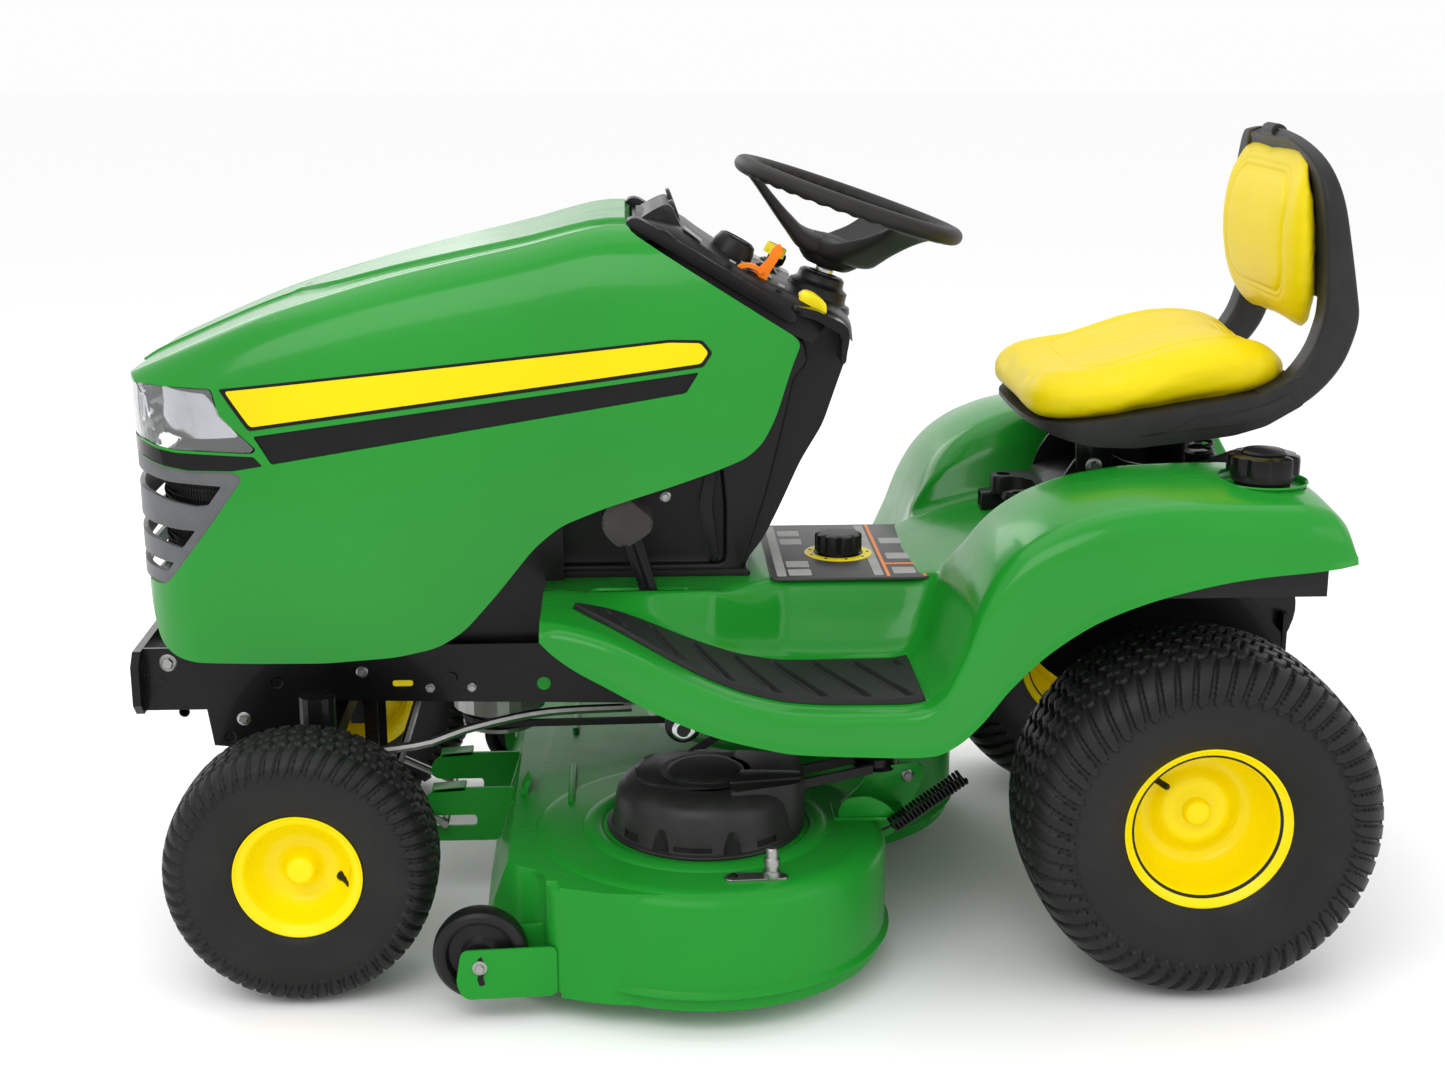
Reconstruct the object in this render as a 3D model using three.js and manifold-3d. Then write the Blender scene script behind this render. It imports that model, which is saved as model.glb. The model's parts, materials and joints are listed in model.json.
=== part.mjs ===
// A ride-on lawn mower with a 42 inch side-discharge deck, as an assembly of separate moving pieces.
// Millimetres. +X points forward, +Y to the driver's left, +Z up, and the origin lies on the ground.
import * as THREE from "three";
import { mergeVertices } from "three/addons/utils/BufferGeometryUtils.js";
import Module from "manifold-3d";

const wasm = await Module();
wasm.setup();

// ---- Driving dimensions ----
// The deck's chute reaches further right than its shell reaches left, so the tractor's own
// centre plane stands this far to the left of the origin.
const CENTRE_PLANE_Y = 68;
const GAP = 0.3;

const AXLE = { front: 626, rear: -626 };
const FRONT_WHEEL = {
  radius: 189, halfWidth: 73, y: 373,
  seat: 76.2, flange: 86.4, halfRim: 57,
  bore: 10.5, hub: 22,
};
const REAR_WHEEL = {
  radius: 252, halfWidth: 118, y: 380,
  seat: 101.6, flange: 114.3, halfRim: 90,
  bore: 13, hub: 30,
};
const TYRE_SIDES = 28;
const RIM_SIDES = 16;
const TYRE_WALL = 10;

const RAIL = { outer: 172, wall: 5 };
const PLATE_Z = [395, 400];
const AXLE_PIVOT_Z = 320;
const BEAM_X = [589, 639];
const KINGPIN = { x: 613, y: 262, radius: 9.5 };
const STEER_ARM = 95;
const DRAG_ARM = 80;
const TIE_ROD_Z = 236;
const SECTOR_PIVOT = { x: 165, y: 25 };
const DRAFT_PIVOT = { x: 560, z: 190 };
const DRAFT_HOOK = { x: 452, z: 137 };
const PTO = { x: 371, y: 0 };

const DECK = { bottom: 57, top: 204, sheet: 3.5 };
const LEFT_CHAMBER = { x: 60, y: 295, radius: 260 };
const RIGHT_CHAMBER = { x: -110, y: -230, radius: 266 };
const BLADE = { half: 248, width: 58, z: 68, thickness: 5 };
const LEFT_GAUGE = { x: 375, y: 476 };
const RIGHT_GAUGE = { x: 362, y: -403 };
const GAUGE_Z = 95;
const BELT_Z = [269, 279];
const LIFT_SHAFT = { x: 92, z: 360, radius: 13, end: 335 };

const HOOD_SHEET = 4;
const HOOD_HALF_WIDTH = 262;
const DASH_HALF_WIDTH = 175;
const SHAFT_LEAN = THREE.MathUtils.degToRad(-18.85);
const WHEEL_CENTRE = { x: -165.5, z: 1068.5 };
const SEAT_PIVOT = { x: -525, z: 685 };
const SEAT_HALF_WIDTH = 235;
const SEAT_SLOPE = Math.tan(THREE.MathUtils.degToRad(5.55));
const FUEL_NECK = { x: -712, y: 325 };

// ---- Finishes ----
const finish = (color, roughness, metalness) =>
  new THREE.MeshStandardMaterial({ color, roughness, metalness });
const GREEN = finish(0x1e8a35, 0.25, 0.0);
const YELLOW = finish(0xf7d900, 0.35, 0.0);
const VINYL = finish(0xf2d500, 0.55, 0.0);
const BLACK_STEEL = finish(0x1b1b1c, 0.45, 0.2);
const BLACK_PLASTIC = finish(0x222224, 0.6, 0.0);
const GREY_PLASTIC = finish(0x4a4d4f, 0.5, 0.0);
const RUBBER = finish(0x1d1d1e, 0.85, 0.0);
const STEEL = finish(0x9a9da0, 0.3, 1.0);
const CAST = finish(0x55585a, 0.6, 0.6);
const CLEAR = finish(0xdfe6ea, 0.1, 0.0);
const ORANGE = finish(0xf07a1a, 0.5, 0.0);
const TANK = finish(0x2c2c2e, 0.6, 0.0);

// ---- Geometry helpers ----
function trimmed(geometry) {
  const plain = geometry.index ? geometry.toNonIndexed() : geometry.clone();
  for (const name of Object.keys(plain.attributes)) {
    if (name !== "position") plain.deleteAttribute(name);
  }
  return mergeVertices(plain, 1e-3);
}

// The closed mesh as a manifold-3d solid, with its faces turned outwards.
function solidOf(geometry) {
  const merged = trimmed(geometry);
  const index = merged.index.array;
  const kept = [];
  for (let i = 0; i < index.length; i += 3) {
    const [a, b, c] = [index[i], index[i + 1], index[i + 2]];
    if (a !== b && b !== c && c !== a) kept.push(a, b, c);
  }
  const make = (triangles) =>
    new wasm.Manifold(
      new wasm.Mesh({
        numProp: 3,
        vertProperties: new Float32Array(merged.attributes.position.array),
        triVerts: new Uint32Array(triangles),
      }),
    );
  const solid = make(kept);
  if (solid.volume() > 0) return solid;
  for (let i = 0; i < kept.length; i += 3) {
    [kept[i + 1], kept[i + 2]] = [kept[i + 2], kept[i + 1]];
  }
  return make(kept);
}

function geometryOf(solid) {
  const mesh = solid.getMesh();
  const geometry = new THREE.BufferGeometry();
  geometry.setAttribute("position", new THREE.BufferAttribute(new Float32Array(mesh.vertProperties), 3));
  geometry.setIndex(new THREE.BufferAttribute(new Uint32Array(mesh.triVerts), 1));
  return geometry;
}

const outward = (geometry) => geometryOf(solidOf(geometry));
const join = (...pieces) => geometryOf(pieces.map(solidOf).reduce((all, next) => all.add(next)));
const cut = (base, ...tools) =>
  geometryOf(tools.map(solidOf).reduce((left, tool) => left.subtract(tool), solidOf(base)));
const overlap = (a, b) => geometryOf(solidOf(a).intersect(solidOf(b)));
const moved = (geometry, x, y, z) => geometry.clone().translate(x, y, z);
const mirrored = (geometry) => outward(geometry.clone().scale(1, -1, 1));

function box(x0, x1, y0, y1, z0, z1) {
  const geometry = new THREE.BoxGeometry(x1 - x0, y1 - y0, z1 - z0);
  return geometry.translate((x0 + x1) / 2, (y0 + y1) / 2, (z0 + z1) / 2);
}

function shapeOf(points, holes = []) {
  const shape = new THREE.Shape(points.map(([a, b]) => new THREE.Vector2(a, b)));
  shape.holes = holes.map((hole) => new THREE.Path(hole.map(([a, b]) => new THREE.Vector2(a, b))));
  return shape;
}

const extruded = (shape, depth) =>
  new THREE.ExtrudeGeometry(shape, { depth, bevelEnabled: false, curveSegments: 6 });

// An outline in X and Z, as wide as y0 to y1.
const sideProfile = (points, y0, y1, holes) =>
  outward(extruded(shapeOf(points, holes), y1 - y0).rotateX(Math.PI / 2).translate(0, y1, 0));

// An outline in X and Y, from z0 up to z1.
const planProfile = (points, z0, z1, holes) =>
  outward(extruded(shapeOf(points, holes), z1 - z0).translate(0, 0, z0));

// An outline in Y and Z, from x0 forward to x1.
const frontProfile = (points, x0, x1) =>
  outward(extruded(shapeOf(points), x1 - x0).rotateX(Math.PI / 2).rotateZ(Math.PI / 2).translate(x0, 0, 0));

// A solid of revolution about +Z: the profile lists [radius, height].
const turned = (profile, sides = 20) =>
  outward(
    new THREE.LatheGeometry(
      profile.map(([r, h]) => new THREE.Vector2(r, h)),
      sides,
    ).rotateX(Math.PI / 2),
  );

function barrel(radius, low, high, sides = 20) {
  return turned([[0, low], [radius, low], [radius, high], [0, high]], sides);
}

const postAt = (x, y, radius, z0, z1, sides) => moved(barrel(radius, z0, z1, sides), x, y, 0);
const alongY = (geometry) => geometry.clone().rotateX(-Math.PI / 2);
const pinY = (x, z, radius, y0, y1, sides) => moved(alongY(barrel(radius, y0, y1, sides)), x, 0, z);
const pinX = (y, z, radius, x0, x1, sides) =>
  moved(barrel(radius, x0, x1, sides).rotateY(Math.PI / 2), 0, y, z);

// A round bar along a smooth route.
function bar(points, radius, steps = 12, sides = 8, tension = 0.5) {
  const route = new THREE.CatmullRomCurve3(
    points.map(([x, y, z]) => new THREE.Vector3(x, y, z)),
    false,
    "catmullrom",
    tension,
  );
  const section = new THREE.Shape();
  for (let i = 0; i < sides; i += 1) {
    const turn = (2 * Math.PI * i) / sides;
    const at = [radius * Math.cos(turn), radius * Math.sin(turn)];
    if (i === 0) section.moveTo(...at);
    else section.lineTo(...at);
  }
  section.closePath();
  return outward(new THREE.ExtrudeGeometry(section, { steps, bevelEnabled: false, extrudePath: route }));
}

const strut = (from, to, radius, sides = 8) => {
  const start = new THREE.Vector3(...from);
  const along = new THREE.Vector3(...to).sub(start);
  const geometry = new THREE.CylinderGeometry(radius, radius, along.length(), sides);
  geometry.translate(0, along.length() / 2, 0);
  geometry.applyQuaternion(
    new THREE.Quaternion().setFromUnitVectors(new THREE.Vector3(0, 1, 0), along.clone().normalize()),
  );
  return geometry.translate(start.x, start.y, start.z);
};

// A skin through closed rings of [x, y, z] points, all with the same number of points.
function loft(rings) {
  const count = rings[0].length;
  const positions = rings.flat(2);
  const index = [];
  for (let ring = 0; ring + 1 < rings.length; ring += 1) {
    for (let i = 0; i < count; i += 1) {
      const a = ring * count + i;
      const b = ring * count + ((i + 1) % count);
      index.push(a, b, a + count, b, b + count, a + count);
    }
  }
  const capped = (ring, flip) => {
    const flat = rings[ring].map(([, y, z]) => new THREE.Vector2(y, z));
    for (const [a, b, c] of THREE.ShapeUtils.triangulateShape(flat, [])) {
      const face = flip ? [a, c, b] : [a, b, c];
      index.push(...face.map((i) => i + ring * count));
    }
  };
  const clockwise = THREE.ShapeUtils.isClockWise(rings[0].map(([, y, z]) => new THREE.Vector2(y, z)));
  capped(0, !clockwise);
  capped(rings.length - 1, clockwise);
  const geometry = new THREE.BufferGeometry();
  geometry.setAttribute("position", new THREE.Float32BufferAttribute(positions, 3));
  geometry.setIndex(index);
  return geometry;
}

// The open line [[u, v], ...] moved sideways by the distance, at each of its points.
function offsetLine(points, distance) {
  return points.map(([u, v], i) => {
    const [pu, pv] = points[Math.max(i - 1, 0)];
    const [nu, nv] = points[Math.min(i + 1, points.length - 1)];
    const length = Math.hypot(nu - pu, nv - pv);
    return [u - (distance * (nv - pv)) / length, v + (distance * (nu - pu)) / length];
  });
}

// A closed outline moved inwards by the distance, or outwards when it is negative.
function inset(points, distance) {
  const clockwise = THREE.ShapeUtils.isClockWise(points.map(([u, v]) => new THREE.Vector2(u, v)));
  const ring = clockwise ? [...points].reverse() : points;
  const count = ring.length;
  return ring.map(([u, v], i) => {
    const [pu, pv] = ring[(i + count - 1) % count];
    const [nu, nv] = ring[(i + 1) % count];
    const before = new THREE.Vector2(u - pu, v - pv).normalize();
    const after = new THREE.Vector2(nu - u, nv - v).normalize();
    const mitre = new THREE.Vector2(-before.y - after.y, before.x + after.x).normalize();
    const spread = Math.max(0.4, mitre.dot(new THREE.Vector2(-before.y, before.x)));
    return [u + (mitre.x * distance) / spread, v + (mitre.y * distance) / spread];
  });
}

// The value at x of a line through [[x, value], ...] listed from high x to low x.
function along(table, x) {
  if (x >= table[0][0]) return table[0][1];
  for (let i = 1; i < table.length; i += 1) {
    const [x0, v0] = table[i - 1];
    const [x1, v1] = table[i];
    if (x >= x1) return v0 + ((v1 - v0) * (x0 - x)) / (x0 - x1);
  }
  return table[table.length - 1][1];
}

const circle = (x, y, radius, count) =>
  Array.from({ length: count }, (_, i) => {
    const turn = (2 * Math.PI * i) / count;
    return [x + radius * Math.cos(turn), y + radius * Math.sin(turn)];
  });

// ---- The assembly ----
const tractor = new THREE.Group();
tractor.position.y = CENTRE_PLANE_Y;

function add(name, geometry, material) {
  const mesh = new THREE.Mesh(geometry, material);
  mesh.name = name;
  tractor.add(mesh);
  return mesh;
}

// ---- Frame ----
function frameRail() {
  const outline = [
    [876, 345], [876, 440], [60, 440], [-120, 448], [-262, 462], [-380, 520], [-736, 520], [-806, 440],
    [-808, 398], [-540, 432], [-380, 432], [-150, 380], [60, 343], [650, 357], [657, 276],
    [781, 289], [789, 345],
  ];
  const web = sideProfile(outline, RAIL.outer - RAIL.wall, RAIL.outer);
  const shaftHole = pinY(LIFT_SHAFT.x, LIFT_SHAFT.z, LIFT_SHAFT.radius + 1, 100, 200, 16);
  return cut(web, shaftHole);
}

function enginePlate() {
  const half = RAIL.outer - RAIL.wall - GAP;
  const [low, high] = PLATE_Z;
  const plate = box(120, 700, -half, half, low, high);
  const rearHanger = box(575, 583, -25, 25, 298, low + 1);
  const frontHanger = box(645, 653, -25, 25, 298, low + 1);
  const pin = pinX(0, AXLE_PIVOT_Z, 9, 576, 652, 12);
  const ears = [-24, 78].map((y) => box(552, 572, y, y + 6, DRAFT_PIVOT.z - 12, low + 1));
  const earHoles = pinY(DRAFT_PIVOT.x, DRAFT_PIVOT.z, 7, -30, 90, 12);
  const sectorHole = postAt(SECTOR_PIVOT.x, SECTOR_PIVOT.y, 10.6, low - 5, high + 5, 12);
  return cut(join(plate, rearHanger, frontHanger, pin, ...ears), earHoles, sectorHole);
}

function frontBumper() {
  const corner = 18;
  const outline = [
    [-205, 345 + corner], [-205 + corner, 345], [205 - corner, 345], [205, 345 + corner],
    [205, 440 - corner], [205 - corner, 440], [-205 + corner, 440], [-205, 440 - corner],
  ];
  const plate = frontProfile(outline, 876 + GAP, 888);
  const holes = [-150, 150].map((y) => pinX(y, 392, 9, 860, 900, 12));
  return cut(plate, ...holes);
}

function hitchPlate() {
  const half = RAIL.outer;
  const plate = box(-815, -808 - GAP, -half, half, 396, 470);
  const shelf = box(-838, -808 - GAP, -60, 60, 396, 402);
  const pinHole = postAt(-825, 0, 8, 380, 420, 12);
  return cut(join(plate, shelf), pinHole);
}

add("left_frame_rail", frameRail(), BLACK_STEEL);
add("right_frame_rail", mirrored(frameRail()), BLACK_STEEL);
add("engine_plate", enginePlate(), BLACK_STEEL);
add("front_bumper", frontBumper(), BLACK_STEEL);
add("hitch_plate", hitchPlate(), BLACK_STEEL);

// ---- Engine and drive ----
function engineBlock() {
  const base = PLATE_Z[1] + GAP;
  const crankcase = box(340, 600, -110, 110, base, 600);
  const neck = postAt(470, 0, 90, 590, 659.7, 16);
  const cylinder = (side) =>
    box(-70, 70, 60, 165, -60, 60).rotateX(side * 0.35).translate(480, 0, 545);
  const left = cylinder(1);
  return join(crankcase, neck, left, mirrored(left));
}

function blowerHousing() {
  const profile = [[0, 660], [150, 660], [150, 735], [118, 762], [118, 790], [0, 790]];
  const shroud = moved(turned(profile, 20), 470, 0, 0);
  const airCleaner = box(540, 655, -90, 90, 680, 775);
  return join(shroud, airCleaner);
}

function ptoClutch() {
  const profile = [
    [0, 258], [58, 258], [58, 264], [50, 267], [50, 281], [58, 284], [58, 288], [72, 290],
    [72, 336], [30, 340], [14, 344], [14, 394], [0, 394],
  ];
  return moved(turned(profile, 24), PTO.x, PTO.y, 0);
}

function transaxle() {
  const z = REAR_WHEEL.radius;
  const housing = box(-700, -552, -105, 105, 185, 330);
  const tubes = pinY(AXLE.rear, z, 34, -245, 245, 14);
  const shafts = pinY(AXLE.rear, z, REAR_WHEEL.bore - 0.5, -412, 412, 14);
  const pump = box(-690, -560, -60, 60, 325, 395);
  return join(housing, tubes, shafts, pump);
}

function fuelTank() {
  const tank = box(-775, -540, 205, 440, 575, 660);
  const saddle = postAt(FUEL_NECK.x, FUEL_NECK.y, 56, 655, 680, 20);
  const neck = postAt(FUEL_NECK.x, FUEL_NECK.y, 37, 670, 712, 20);
  return join(tank, saddle, neck);
}

add("engine_block", engineBlock(), CAST);
add("blower_housing", blowerHousing(), BLACK_PLASTIC);
add("pto_clutch", ptoClutch(), STEEL);
add("transaxle", transaxle(), BLACK_STEEL);
add("fuel_tank", fuelTank(), TANK);

// ---- Fender deck: footrests, tunnel and rear fenders in one pressing ----
const TUNNEL_Z = 530;
const SEAT_PLATFORM_Z = 572;
const FENDER_SHEET = 4;
const FENDER_X = [
  288, 240, 200, 150, 100, 50, 0, -60, -150, -240,
  -270, -305, -345, -400, -470, -560, -660, -740, -785, -812,
];
const FLOOR_LINE = [
  [240, 537], [200, 530], [150, 508], [100, 480], [50, 456], [0, 438], [-60, 424], [-240, 420], [-270, 462],
  [-305, 585], [-345, 642], [-400, 680], [-470, 703], [-560, 712], [-740, 712], [-785, 696], [-812, 642],
];
const LIP_LINE = [
  [288, 522], [240, 484], [200, 465], [150, 437], [100, 412], [50, 394], [0, 380], [-60, 368], [-240, 362],
  [-270, 368], [-305, 398], [-345, 456], [-400, 510], [-470, 553], [-560, 585], [-660, 607], [-812, 620],
];
const HALF_WIDTH_LINE = [[288, 425], [200, 445], [100, 458], [50, 462], [-812, 462]];

const seatPlatformZ = (x) => SEAT_PLATFORM_Z + Math.max(0, -400 - x) * SEAT_SLOPE;

function fenderSection(x) {
  const ramp = along([[-250, TUNNEL_Z], [-400, SEAT_PLATFORM_Z]], x);
  const middle = x > -400 ? ramp : seatPlatformZ(x);
  const floor = along(FLOOR_LINE, x);
  const lip = along(LIP_LINE, x);
  const edge = along(HALF_WIDTH_LINE, x);
  const shoulder = x < -290 ? 24 : 0;
  const half = [
    [-edge, lip], [-edge + 6, floor - shoulder - 8], [-edge + 28, floor - shoulder * 0.35],
    [-330, floor], [-205, floor], [-178, (floor + middle) / 2 + (floor > middle ? 20 : 0)],
    [-165, middle],
  ];
  const top = [...half, ...half.map(([y, z]) => [-y, z]).reverse()];
  const under = offsetLine(top, -FENDER_SHEET).reverse();
  return [...top, ...under].map(([y, z]) => [x, y, z]);
}

function fenderDeck() {
  const pressing = loft(FENDER_X.map(fenderSection));
  const neckHole = postAt(FUEL_NECK.x, FUEL_NECK.y, 62, 640, 740, 20);
  const pedalSlot = box(66, 236, 190, 232, 440, 560);
  const driveSlot = box(-4, 196, -222, -198, 400, 560);
  const towerOpening = box(-10, 250, -100, 100, 500, 560);
  return cut(pressing, neckHole, pedalSlot, driveSlot, towerOpening);
}

function footMat() {
  const stations = [240, 200, 150, 100, 50, 0, -60, -150, -236];
  const rings = stations.map((x) => {
    const z = along(FLOOR_LINE, x) + 1;
    const outer = along([[240, 345], [150, 395], [0, 418], [-236, 424]], x);
    const inner = along([[240, 320], [150, 300], [0, 262], [-150, 235], [-236, 240]], x);
    return [[x, inner, z], [x, outer, z], [x, outer, z + 7], [x, inner, z + 7]];
  });
  return outward(loft(rings));
}

add("fender_deck", fenderDeck(), GREEN);
add("left_foot_mat", footMat(), RUBBER);
add("right_foot_mat", mirrored(footMat()), RUBBER);

// ---- Dash tower and console ----
function dashTower() {
  const half = 135;
  const outline = [
    [-152, 900], [-120, 800], [-75, 700], [-36, 610], [-10, 550], [-6, TUNNEL_Z + 1.5], [262, TUNNEL_Z + 1.5],
    [300, 600], [245, 680], [130, 715], [100, 780], [100, 1008], [-78, 896],
  ];
  const hollow = [
    [-147, 930], [-116, 801], [-71, 702], [-32, 612], [-6, 552], [-2, 500], [258, 500],
    [294, 599], [242, 676], [128, 711], [96, 779], [96, 1040],
  ];
  return cut(sideProfile(outline, -half, half), sideProfile(hollow, -half + 4, half - 4));
}

const CONSOLE_EDGE = [[-66, 909], [166, 1052]];

function dashConsole() {
  const crown = [
    [-154, 904], [-78, 901], ...CONSOLE_EDGE,
    [112, 1088], [60, 1048], [-40, 995], [-110, 962], [-150, 943],
  ];
  const wing = [
    [-150, 904], [-78, 901], ...CONSOLE_EDGE,
    [110, 1068], [60, 1022], [-40, 962], [-110, 930], [-148, 912],
  ];
  const body = join(sideProfile(crown, -95, 95), sideProfile(wing, -DASH_HALF_WIDTH, DASH_HALF_WIDTH));
  const shaftHole = strut([-165, 0, 1068.5], [0, 0, 585], 22, 16);
  const throttleSlot = box(-58, 8, 114, 126, 930, 1020);
  const tabSeat = box(-122, -82, 98, 140, 916, 980);
  return cut(body, shaftHole, throttleSlot, tabSeat);
}

add("dash_tower", dashTower(), BLACK_PLASTIC);
add("dash_console", dashConsole(), BLACK_PLASTIC);

// ---- Hood, grille and headlights: one moulded skin parted along side-view outlines ----
const HOOD_TOP = [
  [880, 838], [820, 868], [753, 897], [680, 926], [581, 959],
  [500, 984], [380, 1012], [290, 1035], [190, 1054], [-90, 1054],
];
const HOOD_REACH = [
  [880, 0.62], [862, 0.76], [835, 0.87], [800, 0.94], [740, 0.985], [680, 1], [-90, 1],
];
const HOOD_SIDE = [
  [880, 838], [872, 822], [852, 815], [850, 700], [852, 537], [848, 500], [836, 464], [812, 450],
  [780, 446], [600, 443], [500, 450], [440, 463], [400, 488], [350, 545], [300, 608], [262, 640],
  [200, 665], [100, 697], [40, 718], [0, 735], [-22, 755], [-40, 790], [-62, 860], [-74, 893],
  [-68, 903], [168, 1049], [188, 1056], [290, 1045], [380, 1024], [500, 996], [581, 971],
  [680, 938], [753, 909], [820, 880],
];

function hoodBody(skin) {
  const stations = [884, 862, 835, 800, 740, 680, 581, 480, 380, 290, 190, 60, -90];
  const rings = stations.map((x) => {
    const reach = along(HOOD_REACH, x);
    const top = along(HOOD_TOP, x) - skin;
    const half = [
      [HOOD_HALF_WIDTH * reach - skin, 400], [(HOOD_HALF_WIDTH + 2) * reach - skin, 640],
      [252 * reach - skin, top - 150], [226 * reach - skin, top - 40], [200 * reach - skin, top - 12],
      [160 * reach - skin, top],
    ];
    const other = half.map(([y, z]) => [-y, z]).reverse();
    return [...half, ...other].map(([y, z]) => [x, y, z]);
  });
  return outward(loft(rings));
}

function hoodSkin() {
  const outer = overlap(hoodBody(0), sideProfile(HOOD_SIDE, -300, 300));
  const hollow = [
    [874, 834], [868, 824], [848, 812], [846, 700], [848, 537], [844, 502], [833, 468], [820, 400],
    [-120, 400], [-120, 880], [166, 1051], [188, 1100], [820, 1100],
  ];
  const inner = overlap(hoodBody(HOOD_SHEET), sideProfile(hollow, -300, 300));
  return cut(outer, inner);
}

const LAMP_OUTLINE = [[900, 764], [900, 841], [742, 838], [683, 768], [692, 753], [840, 761]];
const GRILLE_OUTLINE = [
  [900, 555], [900, 763.4], [840, 760.2], [700, 752.4], [690, 735], [772, 610], [800, 566], [816, 554],
];

function hoodShell() {
  const skin = hoodSkin();
  const lamps = [[62, 300], [-300, -62]].map(([y0, y1]) => sideProfile(LAMP_OUTLINE, y0, y1));
  return cut(skin, ...lamps, sideProfile(GRILLE_OUTLINE, -300, 300));
}

function headlights() {
  const skin = hoodSkin();
  const lens = sideProfile(inset(LAMP_OUTLINE, GAP + 0.1), 62 + GAP, 300);
  const left = overlap(skin, lens);
  const carrier = box(822, 840, -100, 100, 775, 812);
  const stub = box(822, 849, 66, 100, 775, 812);
  return join(left, mirrored(left), carrier, stub, mirrored(stub));
}

function grille() {
  const panel = overlap(hoodSkin(), sideProfile(inset(GRILLE_OUTLINE, GAP + 0.1), -300, 300));
  const bays = [[655, 705, 120], [600, 640, 84], [572, 588, 50]];
  const slots = bays.map(([low, high, half]) => box(800, 900, -half, half, low, high));
  return cut(panel, ...slots);
}

add("hood_shell", hoodShell(), GREEN);
add("grille", grille(), GREY_PLASTIC);
add("headlights", headlights(), CLEAR);

// ---- Steering ----
function steeringWheel() {
  const tube = 14;
  const radius = 178 - tube;
  const section = circle(radius, 0, tube, 8);
  const rim = outward(
    new THREE.LatheGeometry(
      [...section, section[0]].map(([r, h]) => new THREE.Vector2(r, h)),
      28,
    ).rotateX(Math.PI / 2),
  );
  const hub = turned([[0, -104], [26, -104], [44, -92], [44, -72], [0, -66]], 16);
  const spokes = [0, 125, 235].map((degrees) => {
    const turn = THREE.MathUtils.degToRad(degrees);
    const at = (r, z) => [r * Math.cos(turn), r * Math.sin(turn), z];
    return join(strut(at(24, -84), at(95, -58), 10), strut(at(95, -58), at(radius - 2, -2), 9));
  });
  return join(rim, hub, ...spokes).rotateY(SHAFT_LEAN).translate(WHEEL_CENTRE.x, 0, WHEEL_CENTRE.z);
}

function steeringShaft() {
  const shaft = turned([[0, -668], [10, -668], [10, -648], [8, -646], [8, -104.5], [0, -104.5]], 12);
  return shaft.rotateY(SHAFT_LEAN).translate(WHEEL_CENTRE.x, 0, WHEEL_CENTRE.z);
}

function steeringSector() {
  const { x, y } = SECTOR_PIVOT;
  const reach = 96;
  const fan = [[x + 18, y - 18], [x + 18, y + 18]];
  for (let degrees = 140; degrees <= 220; degrees += 10) {
    const turn = THREE.MathUtils.degToRad(degrees);
    fan.push([x + reach * Math.cos(turn), y + reach * Math.sin(turn)]);
  }
  const post = postAt(x, y, 10, 330, 434, 12);
  const arm = box(x - 12, x + 12, y - 12, y + 112, 330, 338);
  return join(planProfile(fan, 426, 434), post, arm);
}

function dragLink() {
  const route = [
    [165, 125, 322], [300, 132, 318], [410, 158, 303], [470, 176, 288], [560, 184, 279],
    [KINGPIN.x, KINGPIN.y - DRAG_ARM, 277],
  ];
  return bar(route, 7, 18, 8);
}

function frontAxle() {
  const z = AXLE_PIVOT_Z;
  const { x, y, radius } = KINGPIN;
  const beam = box(BEAM_X[0], BEAM_X[1], 5 - y, y - 5, z - 16, z + 16);
  const bosses = [-y, y].map((at) => postAt(x, at, 26, z - 22, 396, 16));
  const bores = [-y, y].map((at) => postAt(x, at, radius + 0.5, z - 40, 410, 16));
  const pivot = pinX(0, z, 9.6, 570, 660, 16);
  return cut(join(beam, ...bosses), ...bores, pivot);
}

// Kingpin, stub axle and steering arms of one front wheel, for the left side.
function wheelSpindle(withDragArm) {
  const { x, y, radius } = KINGPIN;
  const z = FRONT_WHEEL.radius;
  const pin = postAt(x, y, radius, z - 10, 398, 12);
  const collar = postAt(x, y, 18, z - 18, AXLE_PIVOT_Z - 22 - 2, 12);
  const block = box(x - 18, AXLE.front + 14, y - 18, y + 18, z - 18, z + 18);
  const stub = pinY(AXLE.front, z, FRONT_WHEEL.bore - 0.5, y, y + 144, 12);
  const tieArm = planProfile(
    [[x + 10, y - 14], [x + 10, y + 14], [x - STEER_ARM - 12, y + 12], [x - STEER_ARM - 12, y - 12]],
    TIE_ROD_Z + 14,
    TIE_ROD_Z + 24,
  );
  const pieces = [pin, collar, block, stub, tieArm];
  if (withDragArm) pieces.push(box(x - 13, x + 13, y - DRAG_ARM - 13, y, 245, 253));
  return join(...pieces);
}

function tieRod() {
  const x = KINGPIN.x - STEER_ARM;
  const { y } = KINGPIN;
  const rod = pinY(x, TIE_ROD_Z, 7, -y, y, 8);
  const eyes = [-y, y].map((at) => postAt(x, at, 12, TIE_ROD_Z - 12, TIE_ROD_Z + 12, 12));
  return join(rod, ...eyes);
}

add("steering_wheel", steeringWheel(), BLACK_PLASTIC);
add("steering_shaft", steeringShaft(), STEEL);
add("steering_sector", steeringSector(), CAST);
add("drag_link", dragLink(), BLACK_STEEL);
add("front_axle", frontAxle(), BLACK_STEEL);
add("left_spindle", wheelSpindle(true), BLACK_STEEL);
add("right_spindle", mirrored(wheelSpindle(false)), BLACK_STEEL);
add("tie_rod", tieRod(), BLACK_STEEL);

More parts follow.
